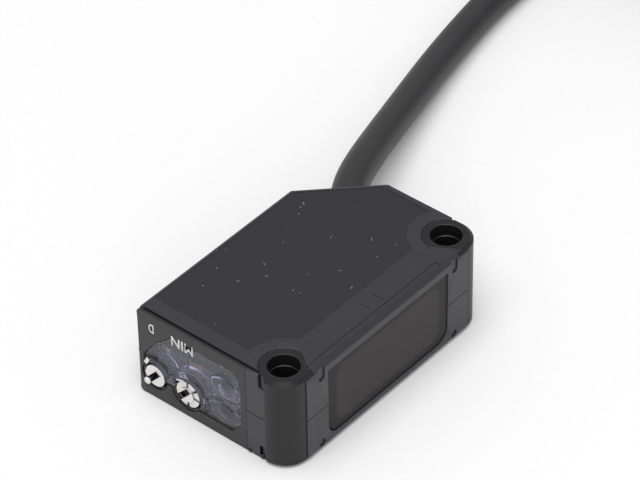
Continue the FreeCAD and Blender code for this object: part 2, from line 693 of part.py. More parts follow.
def cable():
    """The cable from inside the clamp to the start of the folded length."""
    first = EXIT - EXIT_DIR * CABLE_INSIDE
    last = (HANK_X, CABLE_ROUTE[-1][1], CABLE_ROUTE[-1][2])
    return tube_along([tuple(first), *CABLE_ROUTE, last], CABLE_R, "cable")


def inner_leads():
    """Three cores from the cable's end to their pads on the board."""
    end = EXIT - EXIT_DIR * CABLE_INSIDE
    leads = []
    for place, pad_y in zip((-1, 0, 1), CORE_PADS):
        start = end + Vector(-HALF_ROOT, HALF_ROOT, 0) * (place * 2.1 * CORE_R)
        start.z = BOARD_Z0 + BOARD_T + CORE_R
        leave = start - EXIT_DIR * 0.9
        pad = Vector(end.x - PAD_REACH, pad_y, start.z)
        leads.append(tube_along([tuple(start), tuple(leave), tuple(pad)], CORE_R))
    return leads


def stadium(radius, z0, z1):
    """Solid with straight sides along X and round ends, round the hank's middle line."""
    x0, x1 = HANK_X, HANK_X + HANK_RUN
    body = block(x0, x1, HANK_Y - radius, HANK_Y + radius, z0, z1)
    ends = [rod_z(radius, z0, z1, x, HANK_Y) for x in (x0, x1)]
    return body.fuse(ends).removeSplitter()


def hank_tie():
    """Flat band round the middle of the hank."""
    middle = HANK_X + HANK_RUN / 2
    x0, x1 = middle - TIE_WIDTH / 2, middle + TIE_WIDTH / 2
    wide = HANK_EDGE_R
    outer = block(x0, x1, HANK_Y - wide - TIE_T, HANK_Y + wide + TIE_T, 0, HANK_TOP + TIE_T)
    outer = rounded(outer, 2 * TIE_T, lambda e: along(e, 0))
    inner = block(x0, x1, HANK_Y - wide, HANK_Y + wide, TIE_T, HANK_TOP)
    return outer.cut(rounded(inner, TIE_T, lambda e: along(e, 0)))


def cable_hank(tie):
    """The folded length as one solid, open in the middle, with a place for the stripped end."""
    hank = stadium(HANK_EDGE_R, 0, HANK_TOP).cut(stadium(HANK_INNER_R - CABLE_R, 0, HANK_TOP))
    x0 = HANK_X + JACKET_END
    inner = HANK_Y + HANK_INNER_R
    place = block(x0, HANK_X + HANK_RUN, inner - CABLE_R, inner + CABLE_R, HANK_TOP - CABLE_D, HANK_TOP)
    return hank.cut(place).cut(tie)


def stripped_leads():
    """Insulated cores and their bare tips, lying in the hank's last run."""
    x0 = HANK_X + JACKET_END
    z = HANK_TOP - CABLE_D + LEAD_R
    leads, tips = [], []
    for place in (-1, 0, 1):
        y = HANK_Y + HANK_INNER_R + place * LEAD_SPREAD
        leads.append(rod_x(LEAD_R, x0, x0 + LEAD_LENGTH, y, z))
        tips.append(rod_x(TIP_R, x0 + LEAD_LENGTH, x0 + LEAD_LENGTH + TIP_LENGTH, y, z))
    return leads, Part.makeCompound(tips)


def main():
    os.makedirs("parts", exist_ok=True)
    lower, upper = half_shells()
    save("lower_case", lower)
    save("upper_case", upper)
    sleeve = mounting_sleeve()
    save("right_mounting_sleeve", sleeve)
    save("left_mounting_sleeve", mirrored(sleeve))

    save("front_window", front_window())
    save("window_gasket", window_gasket())
    save("emitter_lens", lens(-LENS_X))
    save("receiver_lens", lens(LENS_X))
    save("lens_holder", lens_holder())
    save("optics_board", optics_board())
    save("emitter_led", emitter_led())
    save("receiver_photodiode", on_optics(LENS_X, DIODE_SIZE))
    save("receiver_shield", receiver_shield())

    save("end_panel", end_panel())
    save("indicator_window", indicator_window())
    save("mode_knob", mode_knob())
    save("sensitivity_knob", sensitivity_knob())
    save("mode_seal", seal(MODE_Y, MODE_Z))
    save("sensitivity_seal", seal(GAIN_Y, GAIN_Z))
    save("mode_switch_body", adjuster_body(MODE_Y, MODE_Z, SWITCH_BODY, SWITCH_SHIFT))
    save("sensitivity_pot_body", adjuster_body(GAIN_Y, GAIN_Z, POT_BODY))

    save("circuit_board", circuit_board())
    save("control_chip", on_board(CHIP_X, CHIP_Y, CHIP))
    save("board_components", board_components())
    save("stability_led", indicator_led(dome_place(STABILITY_DOME)))
    save("operation_led", indicator_led(dome_place(OPERATION_DOME)))

    save("cable_bushing", cable_bushing())
    save("cable_clamp", cable_clamp())
    save("cable", cable())
    for colour, lead in zip(("brown", "black", "blue"), inner_leads()):
        save("inner_lead_" + colour, lead)
    tie = hank_tie()
    save("hank_tie", tie)
    save("cable_hank", cable_hank(tie))
    leads, tips = stripped_leads()
    for colour, lead in zip(("brown", "black", "blue"), leads):
        save("lead_" + colour, lead)
    save("lead_tips", tips)


main()
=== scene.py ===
"""Looks of a compact photoelectric sensor with its cable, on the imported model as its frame."""

import logging
import math
from dataclasses import dataclass
from enum import Enum
from typing import Any, Callable, Sequence

import bmesh
import bpy
from mathutils import Matrix, Vector
from mathutils.geometry import delaunay_2d_cdt


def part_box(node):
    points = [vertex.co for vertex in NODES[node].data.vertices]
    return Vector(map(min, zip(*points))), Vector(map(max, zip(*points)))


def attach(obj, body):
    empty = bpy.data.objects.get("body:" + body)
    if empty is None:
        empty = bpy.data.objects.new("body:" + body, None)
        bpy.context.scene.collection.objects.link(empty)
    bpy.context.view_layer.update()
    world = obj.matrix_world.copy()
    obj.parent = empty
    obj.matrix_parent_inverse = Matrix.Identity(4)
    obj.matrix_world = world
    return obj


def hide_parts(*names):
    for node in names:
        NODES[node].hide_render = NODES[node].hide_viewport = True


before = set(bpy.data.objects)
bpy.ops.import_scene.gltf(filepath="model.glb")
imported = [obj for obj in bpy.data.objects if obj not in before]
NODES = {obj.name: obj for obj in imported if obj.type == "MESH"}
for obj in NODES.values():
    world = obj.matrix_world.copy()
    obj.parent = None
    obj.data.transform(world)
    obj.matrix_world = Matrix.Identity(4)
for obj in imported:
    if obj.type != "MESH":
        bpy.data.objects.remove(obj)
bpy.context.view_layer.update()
MM = 0.001
LOG = logging.getLogger("photoelectric_sensor")

# A place in a plane, a place in space, a colour, and a rule that picks a face's material.
Point = tuple[float, float]
Place = tuple[float, float, float]
Colour = tuple[float, float, float]
Rule = Callable[[Vector, Vector], int]

TIP = 0.001  # radius in mm that closes a turned shape on its axis
SHARP = math.radians(30)  # edges sharper than this are rounded


class Body(str, Enum):
    """The bodies that pieces ride on."""

    CASE = "body"
    MODE = "mode_knob"
    SENSITIVITY = "sensitivity_knob"


# ---- view and light -----------------------------------------------------------------------


@dataclass(frozen=True)
class Viewpoint:
    """The camera: what it looks at, from where, and through which lens. Lengths in mm."""

    target: Place = (8.717, 6.3625, 5.953)
    azimuth: float = -49.323
    elevation: float = 40.256
    distance: float = 370.682
    roll: float = -1.034
    lens: float = 201.227

    def place(self) -> bpy.types.Object:
        """Makes the camera.

        Returns:
            The camera object, which is also the scene's camera.
        """
        turn, tilt = math.radians(self.azimuth), math.radians(self.elevation)
        back = Vector((math.sin(turn) * math.cos(tilt), -math.cos(turn) * math.cos(tilt), math.sin(tilt)))
        right = (-back).cross(Vector((0, 0, 1))).normalized()
        up = right.cross(-back).normalized()
        lean = math.radians(self.roll)
        across = right * math.cos(lean) + up * math.sin(lean)
        above = up * math.cos(lean) - right * math.sin(lean)
        data = bpy.data.cameras.new("viewpoint")
        data.lens, data.sensor_width = self.lens, 36.0
        data.clip_start, data.clip_end = 0.01, 20.0
        camera = bpy.data.objects.new("viewpoint", data)
        place = Matrix((across, above, back)).transposed().to_4x4()
        place.translation = (Vector(self.target) + back * self.distance) * MM
        camera.matrix_world = place
        bpy.context.scene.collection.objects.link(camera)
        bpy.context.scene.camera = camera
        return camera


@dataclass(frozen=True)
class Softbox:
    """A square soft lamp. Place and size in metres, power in watts."""

    name: str
    place: Place
    size: float
    power: float

    def hang(self) -> bpy.types.Object:
        """Makes the lamp, aimed at the sensor.

        Returns:
            The lamp object.
        """
        data = bpy.data.lights.new(self.name, "AREA")
        data.size, data.energy = self.size, self.power
        lamp = bpy.data.objects.new(self.name, data)
        lamp.location = self.place
        lamp.rotation_euler = Vector(self.place).to_track_quat("Z", "Y").to_euler()
        bpy.context.scene.collection.objects.link(lamp)
        return lamp


# ---- shader building ----------------------------------------------------------------------


class Value:
    """A shader socket that takes Python's operators."""

    def __init__(self, shader: "Shader", socket: bpy.types.NodeSocket) -> None:
        """Wraps a socket of the shader's tree."""
        self.shader, self.socket = shader, socket

    def maths(self, operation: str, *others: Any) -> "Value":
        """Adds a Math node with this value first.

        Args:
            operation: The node's operation.
            others: Values or numbers for its other sockets.

        Returns:
            The node's result.
        """
        return self.shader.maths(operation, self, *others)

    def __add__(self, other: Any) -> "Value":
        """This value plus another."""
        return self.maths("ADD", other)

    def __radd__(self, other: Any) -> "Value":
        """A number plus this value."""
        return self.maths("ADD", other)

    def __sub__(self, other: Any) -> "Value":
        """This value less another."""
        return self.maths("SUBTRACT", other)

    def __rsub__(self, other: Any) -> "Value":
        """A number less this value."""
        return self.shader.maths("SUBTRACT", other, self)

    def __mul__(self, other: Any) -> "Value":
        """This value times another."""
        return self.maths("MULTIPLY", other)

    def __rmul__(self, other: Any) -> "Value":
        """A number times this value."""
        return self.maths("MULTIPLY", other)

    def __truediv__(self, other: Any) -> "Value":
        """This value over another."""
        return self.maths("DIVIDE", other)

    def __gt__(self, other: Any) -> "Value":
        """1 where this value is the larger, and 0 elsewhere."""
        return self.maths("GREATER_THAN", other)

    def __lt__(self, other: Any) -> "Value":
        """1 where this value is the smaller, and 0 elsewhere."""
        return self.maths("LESS_THAN", other)


class Shader:
    """A material whose node tree is built in code."""

    def __init__(self, name: str) -> None:
        """Starts a new material with an empty tree.

        Args:
            name: The material's name.
        """
        self.material = bpy.data.materials.new(name)
        self.material.use_nodes = True
        self.tree = self.material.node_tree
        self.tree.nodes.clear()
        self.place = self.node("ShaderNodeTexCoord").outputs["Object"]

    def node(
        self, kind: str, settings: dict[str, Any] | None = None, sockets: dict[Any, Any] | None = None
    ) -> Any:
        """Adds a node.

        Args:
            kind: The node's type.
            settings: Its own settings, which are set first.
            sockets: Values or links of its inputs, by name or index.

        Returns:
            The new node.
        """
        made = self.tree.nodes.new(kind)
        for key, value in (settings or {}).items():
            setattr(made, key, value)
        for key, value in (sockets or {}).items():
            if isinstance(value, Value):
                value = value.socket
            if isinstance(value, bpy.types.NodeSocket):
                self.tree.links.new(value, made.inputs[key])
            else:
                made.inputs[key].default_value = value
        return made

    def maths(self, operation: str, *terms: Any) -> Value:
        """Adds a Math node.

        Args:
            operation: The node's operation.
            terms: Values or numbers, in the order of its sockets.

        Returns:
            The node's result.
        """
        made = self.node("ShaderNodeMath", {"operation": operation}, dict(enumerate(terms)))
        return Value(self, made.outputs[0])

    def stretched(self, scale: Place) -> Any:
        """Object coordinates, scaled along each axis."""
        return self.node("ShaderNodeMapping", None, {"Vector": self.place, "Scale": scale}).outputs[0]

    def noise(self, size: float, detail: float = 2.0, vector: Any = None, roughness: float = 0.5) -> Value:
        """Smooth noise.

        Args:
            size: Size of its patches in metres.
            detail: How many finer layers it has.
            vector: Coordinates other than the object's own.
            roughness: Strength of the finer layers.

        Returns:
            Its value, about 0.5 on average.
        """
        sockets = {
            "Vector": vector or self.place,
            "Scale": 1 / size,
            "Detail": detail,
            "Roughness": roughness,
        }
        return Value(self, self.node("ShaderNodeTexNoise", None, sockets).outputs[0])

    def cells(self, size: float) -> Value:
        """Distance to the nearest of scattered points, which are that far apart in metres."""
        sockets = {"Vector": self.place, "Scale": 1 / size}
        return Value(self, self.node("ShaderNodeTexVoronoi", None, sockets).outputs["Distance"])

    def along(self, axis: str) -> Value:
        """One axis of the object's coordinates, in metres."""
        return Value(self, self.node("ShaderNodeSeparateXYZ", None, {0: self.place}).outputs[axis])

    def mix(self, factor: Any, first: Any, second: Any) -> Any:
        """Mixes two colours.

        Args:
            factor: Share of the second.
            first: Colour or socket.
            second: Colour or socket.

        Returns:
            The colour socket.
        """
        colours = [(*c, 1.0) if isinstance(c, tuple) else c for c in (first, second)]
        settings = {"data_type": "RGBA", "blend_type": "MIX"}
        return self.node("ShaderNodeMix", settings, {0: factor, 6: colours[0], 7: colours[1]}).outputs[2]

    def bump(self, height: Value, depth: float) -> Any:
        """Bump from a height of 0 to 1, that deep in metres."""
        sockets = {"Strength": 1.0, "Distance": depth, "Height": height}
        return self.node("ShaderNodeBump", None, sockets).outputs[0]

    def finish(self, **sockets: Any) -> bpy.types.Material:
        """Ends the tree in a Principled shader.

        Args:
            sockets: Its inputs, with an underscore for each space.

        Returns:
            The material.
        """
        named = {key.replace("_", " "): value for key, value in sockets.items()}
        if isinstance(named.get("Base Color"), tuple):
            named["Base Color"] = (*named["Base Color"], 1.0)
        shader = self.node("ShaderNodeBsdfPrincipled", None, named)
        self.node("ShaderNodeOutputMaterial", None, {"Surface": shader.outputs[0]})
        return self.material


# ---- finishes -----------------------------------------------------------------------------


@dataclass(frozen=True)
class Finish:
    """What a piece is made of: its material slot in the record, and its look."""

    name: str
    slot: str

    def material(self) -> bpy.types.Material:
        """The material, built once and shared by its pieces."""
        found = bpy.data.materials.get(self.name)
        return found or self.build(Shader(self.name))

    def build(self, shader: Shader) -> bpy.types.Material:
        """Builds the material's nodes."""
        raise NotImplementedError


@dataclass(frozen=True)
class Moulding(Finish):
    """Moulded plastic or rubber: fine grain, faint flow patches and worn dull spots."""

    colour: Colour = (0.5, 0.5, 0.5)
    roughness: float = 0.45
    grain: float = 0.12 * MM
    depth: float = 0.004 * MM
    dust: float = 0.0
    gleam: float = 0.5

    def build(self, shader: Shader) -> bpy.types.Material:
        """Builds the material's nodes.

        Args:
            shader: The empty tree.

        Returns:
            The material.
        """
        fine = shader.noise(self.grain, 4.0, roughness=0.6)
        patches = shader.noise(3.0 * MM, 3.0)
        dark, light = (tuple(c * k for c in self.colour) for k in (0.86, 1.16))
        colour = shader.mix(patches * 0.7 + fine * 0.3, dark, light)
        if self.dust:
            specks = (shader.cells(1.3 * MM) < 0.045) * (shader.noise(2.1 * MM) > 0.52)
            colour = shader.mix(specks * self.dust, colour, (0.4, 0.4, 0.4))
        return shader.finish(
            Base_Color=colour,
            Roughness=patches * 0.12 + fine * 0.08 + (self.roughness - 0.1),
            Specular_IOR_Level=self.gleam,
            Normal=shader.bump(fine, self.depth),
        )


@dataclass(frozen=True)
class Clear(Finish):
    """Clear plastic, slightly hazy."""

    tint: Colour = (1.0, 1.0, 1.0)
    roughness: float = 0.03
    clearness: float = 1.0
    ior: float = 1.46
    gleam: float = 0.5

    def build(self, shader: Shader) -> bpy.types.Material:
        """Builds the material's nodes.

        Args:
            shader: The empty tree.

        Returns:
            The material.
        """
        haze = shader.noise(0.9 * MM, 4.0)
        dark = tuple(c * 0.92 for c in self.tint)
        return shader.finish(
            Base_Color=shader.mix(haze, dark, self.tint),
            Roughness=haze * 0.04 + self.roughness,
            IOR=self.ior,
            Specular_IOR_Level=self.gleam,
            Transmission_Weight=self.clearness,
            Normal=shader.bump(haze, 0.006 * MM),
        )


@dataclass(frozen=True)
class Smoked(Finish):
    """Dark smoked window: a paler clear field over the lenses, inside a darker border."""

    border: Colour = (0.003, 0.003, 0.003)
    middle: Colour = (0.026, 0.021, 0.022)
    half: Point = (8.1 * MM, 3.6 * MM)
    height: float = 5.6 * MM
    corner: float = 1.3 * MM
    line: float = 0.05 * MM
    line_colour: Colour = (0.004, 0.004, 0.004)
    scratches: tuple[tuple[float, float, float, float], ...] = (
        (-0.14, 7.9, 4.2, 2.9), (-8.0, 4.5, -5.8, 1.7),
    )
    scratch_half: float = 0.07
    scratch_colour: Colour = (0.08, 0.055, 0.05)

    def scratch(self, x: Value, z: Value, ends: tuple[float, float, float, float]) -> Value:
        """A fine straight scratch.

        Args:
            x: Place along the window, in mm.
            z: Height, in mm.
            ends: Place and height of its start, and of its end, in mm.

        Returns:
            1 on the scratch, and 0 elsewhere.
        """
        x0, z0, x1, z1 = ends
        run = math.hypot(x1 - x0, z1 - z0)
        lean_x, lean_z = (x1 - x0) / run, (z1 - z0) / run
        across = ((x - x0) * lean_z - (z - z0) * lean_x).maths("ABSOLUTE")
        along = (x - x0) * lean_x + (z - z0) * lean_z
        return (across < self.scratch_half) * (along > 0.0) * (along < run)

    def build(self, shader: Shader) -> bpy.types.Material:
        """Builds the material's nodes.

        Args:
            shader: The empty tree.

        Returns:
            The material.
        """
        x, z = shader.along("X"), shader.along("Z") - self.height
        out_x = (x.maths("ABSOLUTE") - (self.half[0] - self.corner)).maths("MAXIMUM", 0.0)
        out_z = (z.maths("ABSOLUTE") - (self.half[1] - self.corner)).maths("MAXIMUM", 0.0)
        off = (out_x * out_x + out_z * out_z).maths("SQRT") - self.corner
        field = off < 0.0
        edge = off.maths("ABSOLUTE") < self.line
        haze = shader.noise(2.5 * MM, 3.0)
        colour = shader.mix(field * (haze * 0.5 + 0.5), self.border, self.middle)
        colour = shader.mix(edge * 0.5, colour, self.line_colour)
        for ends in self.scratches:
            on = self.scratch(x / MM, z / MM + self.height / MM, ends)
            colour = shader.mix(on * 0.35, colour, self.scratch_colour)
        return shader.finish(
            Base_Color=colour,
            Roughness=haze * 0.1 + 0.3,
            Specular_IOR_Level=0.2,
            Normal=shader.bump(haze, 0.01 * MM),
        )


@dataclass(frozen=True)
class SolderMask(Finish):
    """Circuit board: solder mask over traces, with bare pads and vias."""

    def build(self, shader: Shader) -> bpy.types.Material:
        """Builds the material's nodes.

        Args:
            shader: The empty tree.

        Returns:
            The material.
        """
        wires = shader.maths("PINGPONG", shader.along("Y") + shader.noise(4 * MM) * 1.5 * MM, 0.35 * MM)
        traces = (wires > 0.2 * MM) * (shader.noise(2.2 * MM) > 0.45)
        vias = shader.cells(1.3 * MM) < 0.16
        mask = shader.mix(traces, (0.012, 0.075, 0.035), (0.03, 0.14, 0.06))
        return shader.finish(
            Base_Color=shader.mix(vias, mask, (0.55, 0.38, 0.16)),
            Metallic=vias * 0.8,
            Roughness=0.45 - vias * 0.15,
            Normal=shader.bump(traces + vias, 0.03 * MM),
        )


@dataclass(frozen=True)
class Metal(Finish):
    """Plated or tinned metal with fine drawing marks along X."""

    colour: Colour = (0.8, 0.8, 0.8)
    roughness: float = 0.3

    def build(self, shader: Shader) -> bpy.types.Material:
        """Builds the material's nodes.

        Args:
            shader: The empty tree.

        Returns:
            The material.
        """
        marks = shader.noise(0.08 * MM, 3.0, shader.stretched((0.08, 1, 1)))
        dark = tuple(c * 0.75 for c in self.colour)
        return shader.finish(
            Base_Color=shader.mix(marks, dark, self.colour),
            Metallic=1.0,
            Roughness=marks * 0.2 + (self.roughness - 0.1),
            Normal=shader.bump(marks, 0.003 * MM),
        )


@dataclass(frozen=True)
class Parts(Finish):
    """Small electronic parts: dark bodies, brown ceramic and tinned ends by place."""

    def build(self, shader: Shader) -> bpy.types.Material:
        """Builds the material's nodes.

        Args:
            shader: The empty tree.

        Returns:
            The material.
        """
        kinds = shader.noise(1.6 * MM, 0.0)
        body = shader.mix(kinds > 0.5, (0.02, 0.02, 0.022), (0.3, 0.16, 0.06))
        ends = shader.maths("PINGPONG", shader.along("X"), 0.8 * MM) < 0.2 * MM
        return shader.finish(
            Base_Color=shader.mix(ends, body, (0.6, 0.55, 0.45)),
            Metallic=ends * 0.9,
            Roughness=0.5 - ends * 0.2,
            Normal=shader.bump(shader.noise(0.1 * MM), 0.01 * MM),
        )


BAND = Moulding(
    "black_case_plastic", "case_black", (0.0235, 0.0228, 0.027), 0.42, 0.10 * MM, 0.0025 * MM, 0.4
)
FIELD = Moulding("black_case_texture", "case_black", (0.012, 0.0115, 0.014), 0.62, 0.09 * MM, 0.005 * MM, 0.8)
SLEEVE = Moulding(
    "black_post_plastic", "case_black", (0.0105, 0.0102, 0.0118), 0.42, 0.10 * MM, 0.002 * MM, 0.3, 0.35
)
BORE = Moulding("black_bore_gloss", "case_black", (0.012, 0.012, 0.012), 0.18, 0.3 * MM, 0.002 * MM)
MASK = Moulding("black_mask_plastic", "case_black", (0.015, 0.0142, 0.0155), 0.45, 0.09 * MM, 0.003 * MM, 0.3)
SMOKE = Smoked("smoked_window", "window_smoke")
GASKET = Moulding("foam_gasket", "gasket", (0.008, 0.008, 0.008), 0.85, 0.08 * MM, 0.02 * MM)
LENS = Clear("clear_lens", "lens_clear", (0.95, 0.93, 0.92), 0.02)
HOLDER = Moulding("lens_holder_black", "holder_dark", (0.02, 0.018, 0.018), 0.5)
BOARD = SolderMask("green_board", "board_green")
RED_LED = Clear("red_emitter", "led_red", (0.8, 0.05, 0.03), 0.1, 0.6)
SILICON = Metal("silicon_die", "silicon", (0.12, 0.11, 0.16), 0.25)
SHIELD = Metal("tinned_shield", "shield_metal", (0.7, 0.7, 0.68), 0.35)
CLEAR = Clear("clear_indicator_plastic", "indicator_clear", (0.68, 0.67, 0.9), 0.02, 0.99, gleam=0.22)
KNOB = Moulding("white_knob_plastic", "knob_white", (0.74, 0.72, 0.69), 0.5, 0.15 * MM, 0.003 * MM)
# Painted shade: near-black colour for the white knobs' deep slot floors.
SHADE = Moulding("painted_shade_knob_floor", "knob_white", (0.045, 0.044, 0.05), 0.7)
# Painted shade: greyer colour for the white knobs' side walls.
SKIRT = Moulding("shaded_knob_skirt", "knob_white", (0.16, 0.155, 0.19), 0.6)
SEAL = Moulding("black_seal_rubber", "seal_rubber", (0.012, 0.012, 0.012), 0.7, 0.1 * MM, 0.01 * MM)
ADJUSTER = Moulding("adjuster_body_dark", "adjuster_dark", (0.03, 0.03, 0.045), 0.4)
COMPONENTS = Parts("board_parts", "components")
STABLE = Clear("stability_lamp_clear", "stability_lamp", (0.35, 0.42, 0.40), 0.2, 0.5)
OPERATE = Clear("operation_lamp_clear", "operation_lamp", (0.42, 0.38, 0.35), 0.2, 0.5)
GOLD = Metal("gold_contacts", "components", (0.75, 0.5, 0.2), 0.35)
CLAMP = Metal("clamp_steel", "clamp_metal", (0.6, 0.6, 0.6), 0.4)
JACKET = Moulding("black_cable_jacket", "jacket_black", (0.024, 0.024, 0.026), 0.5, 0.25 * MM, 0.01 * MM, 0.2)
TIE = Moulding("black_tie_plastic", "tie_black", (0.014, 0.014, 0.014), 0.35)
TINNED = Metal("tinned_strands", "tinned_copper", (0.83, 0.8, 0.76), 0.3)
PRINT = Moulding("white_print", "knob_white", (0.68, 0.68, 0.68), 0.6, 0.1 * MM, 0.002 * MM)
LINT = Moulding("white_lint", "case_black", (0.45, 0.45, 0.44), 0.8, 0.1 * MM, 0.002 * MM)
LEADS = {
    "brown": Moulding("brown_lead", "lead_brown", (0.13, 0.045, 0.02), 0.45),
    "black": Moulding("black_lead", "lead_black", (0.015, 0.015, 0.015), 0.45),
    "blue": Moulding("blue_lead", "lead_blue", (0.02, 0.07, 0.32), 0.45),
}


# ---- pieces -------------------------------------------------------------------------------


def finished(
    obj: bpy.types.Object, finish: Finish, body: Body = Body.CASE, stands_for: Sequence[str] = ()
) -> bpy.types.Object:
    """Dresses a new piece and ties it to the frame.

    Args:
        obj: The piece, with its place in its data.
        finish: Its finish.
        body: The body that it rides on.
        stands_for: CAD nodes that it replaces.

    Returns:
        The piece.
    """
    if not obj.data.materials:
        obj.data.materials.append(finish.material())
    if not obj.users_collection:
        bpy.context.scene.collection.objects.link(obj)
    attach(obj, body.value)
    if stands_for:
        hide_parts(*stands_for)
    LOG.info("%s: %s", obj.name, finish.name)
    return obj


def dressed(finish: Finish, *names: str) -> None:
    """Gives CAD nodes that show as they are their material.

    Args:
        finish: The finish.
        names: The nodes.
    """
    for name in names:
        data = NODES[name].data
        data.materials.clear()
        data.materials.append(finish.material())
        LOG.info("%s: %s", name, finish.name)


def from_points(
    name: str, points: Sequence[Any], faces: Sequence[Sequence[int]], smooth: bool = True
) -> bpy.types.Object:
    """An object from points in millimetres.

    Args:
        name: Its name.
        points: Its points.
        faces: Indices of each face's points, anticlockwise from outside.
        smooth: Whether it is shaded smooth.

    Returns:
        The object, not yet in the scene.
    """
    data = bpy.data.meshes.new(name)
    data.from_pydata([Vector(p) * MM for p in points], [], faces)
    data.validate()
    data.polygons.foreach_set("use_smooth", [smooth] * len(data.polygons))
    return bpy.data.objects.new(name, data)


def bevelled(obj: bpy.types.Object, width: float, weighted: bool = False) -> bpy.types.Object:
    """Rounds an object's sharp edges.

    Args:
        obj: The object.
        width: Width of the rounding in millimetres.
        weighted: Whether only edges with a bevel weight are rounded.

    Returns:
        The object.
    """
    rounding = obj.modifiers.new("edges", "BEVEL")
    rounding.width, rounding.segments = width * MM, 2
    rounding.limit_method, rounding.angle_limit = "WEIGHT" if weighted else "ANGLE", SHARP
    rounding.use_clamp_overlap = False
    rounding.miter_outer = "MITER_ARC"
    shading = obj.modifiers.new("shading", "WEIGHTED_NORMAL")
    shading.weight, shading.keep_sharp = 100, True
    return obj


def mark_edges(cut: bmesh.types.BMesh, width: float) -> None:
    """Weights the sharp edges that have room for a rounding, and splits the shading at the rest.

    Args:
        cut: The merged mesh.
        width: Width of the rounding in millimetres.
    """
    weight = cut.edges.layers.float.new("bevel_weight_edge")
    room = {face: 2 * face.calc_area() / max(face.calc_perimeter(), 1e-9) for face in cut.faces}
    for edge in cut.edges:
        if len(edge.link_faces) == 2 and edge.calc_face_angle(0.0) > SHARP:
            roomy = min(room[face] for face in edge.link_faces) > 2.2 * width * MM
            edge[weight], edge.smooth = float(roomy), roomy


def refined(
    node: str,
    finish: Finish,
    body: Body = Body.CASE,
    width: float = 0.05,
    faces: Rule | None = None,
    more: Sequence[Finish] = (),
) -> bpy.types.Object:
    """A merged copy of a CAD node with rounded edges, in its place.

    Args:
        node: The CAD node.
        finish: The finish.
        body: The body that it rides on.
        width: Width of the edge rounding in millimetres.
        faces: Gives each face's material from its middle and normal.
        more: Further finishes that the rule chooses from.

    Returns:
        The piece.
    """
    cut = bmesh.new()
    cut.from_mesh(NODES[node].data)
    bmesh.ops.remove_doubles(cut, verts=cut.verts, dist=0.001 * MM)
    bmesh.ops.dissolve_degenerate(cut, edges=cut.edges, dist=0.001 * MM)
    bmesh.ops.dissolve_limit(cut, angle_limit=math.radians(1.0), verts=cut.verts, edges=cut.edges)
    mark_edges(cut, width)
    bmesh.ops.triangulate(cut, faces=[face for face in cut.faces if len(face.verts) > 4])
    for face in cut.faces:
        face.smooth = True
        face.material_index = faces(face.calc_center_median() / MM, face.normal) if faces else 0
    data = bpy.data.meshes.new(node + "_moulding")
    cut.to_mesh(data)
    cut.free()
    for look in (finish, *more):
        data.materials.append(look.material())
    obj = bevelled(bpy.data.objects.new(node + "_moulding", data), width, True)
    return finished(obj, finish, body, [node])


def lathed(profile: Sequence[Point], steps: int) -> tuple[list[Vector], list[list[int]]]:
    """Spins a closed profile about the z axis.

    Args:
        profile: Radius and height of each point, in mm, anticlockwise.
        steps: Faces round the axis.

    Returns:
        Points in mm and faces.
    """
    points, faces = [], []
    count = len(profile)
    for step in range(steps):
        turn = 2 * math.pi * step / steps
        points += [Vector((r * math.cos(turn), r * math.sin(turn), z)) for r, z in profile]
        after = (step + 1) % steps
        for i in range(count):
            j = (i + 1) % count
            faces.append([step * count + i, after * count + i, after * count + j, step * count + j])
    return points, faces


def end_turned(name: str, profile: Sequence[Point], place: Vector, steps: int = 32) -> bpy.types.Object:
    """A turned shape whose axis points out of the adjuster end.

    Args:
        name: Its name.
        profile: Radius and height of each point, in mm, anticlockwise.
        place: Where its foot stands, in mm.
        steps: Faces round the axis.

    Returns:
        The object.
    """
    points, faces = lathed(profile, steps)
    return from_points(name, [Vector((-p.z, p.y, p.x)) + place for p in points], faces)


# ---- case ---------------------------------------------------------------------------------


@dataclass
class Case:
    """The two half shells and the corner posts. Sizes in mm."""

    top: float = 11.2
    field: float = 11.16
    hole: Point = (12.7, -7.1)
    bore: float = 1.66
    step: float = 1.5
    ledge: float = 1.4
    ledge_edge: float = 0.06

    def build(self) -> None:
        """Builds the shells, the posts and the ledges in their bores."""
        refined("upper_case", BAND, width=0.06, faces=self.top_face, more=[FIELD])
        refined("lower_case", BAND, width=0.06)
        for side, name in ((-1, "left_mounting_sleeve"), (1, "right_mounting_sleeve")):
            refined(name, SLEEVE, width=0.1, faces=self.bore_face, more=[BORE])
            self.bore_ledge(side, name.split("_")[0])

    def top_face(self, middle: Vector, normal: Vector) -> int:
        """The textured field's material on its recessed face, and the band's elsewhere."""
        return int(abs(middle.z - self.field) < 0.01 and normal.z > 0.9)

    def bore_face(self, middle: Vector, normal: Vector) -> int:
        """The bore's material on its wall, and the post's elsewhere."""
        return int(math.hypot(abs(middle.x) - self.hole[0], middle.y - self.hole[1]) < self.bore + 0.02)

    def bore_ledge(self, side: int, name: str) -> bpy.types.Object:
        """The narrower glossy stretch of a screw hole.

        Args:
            side: -1 at the adjuster end, or 1.
            name: Its side's name.

        Returns:
            The piece.
        """
        low, high, edge = self.ledge, self.top - self.ledge, self.ledge_edge
        profile = [
            (self.bore, low), (self.bore, high), (self.step + edge, high),
            (self.step, high - edge), (self.step, low + edge), (self.step + edge, low),
        ]
        points, faces = lathed(profile, 64)
        shift = Vector((side * self.hole[0], self.hole[1], 0))
        obj = from_points(name + "_bore_ledge", [p + shift for p in points], faces)
        return finished(bevelled(obj, 0.03), BORE)


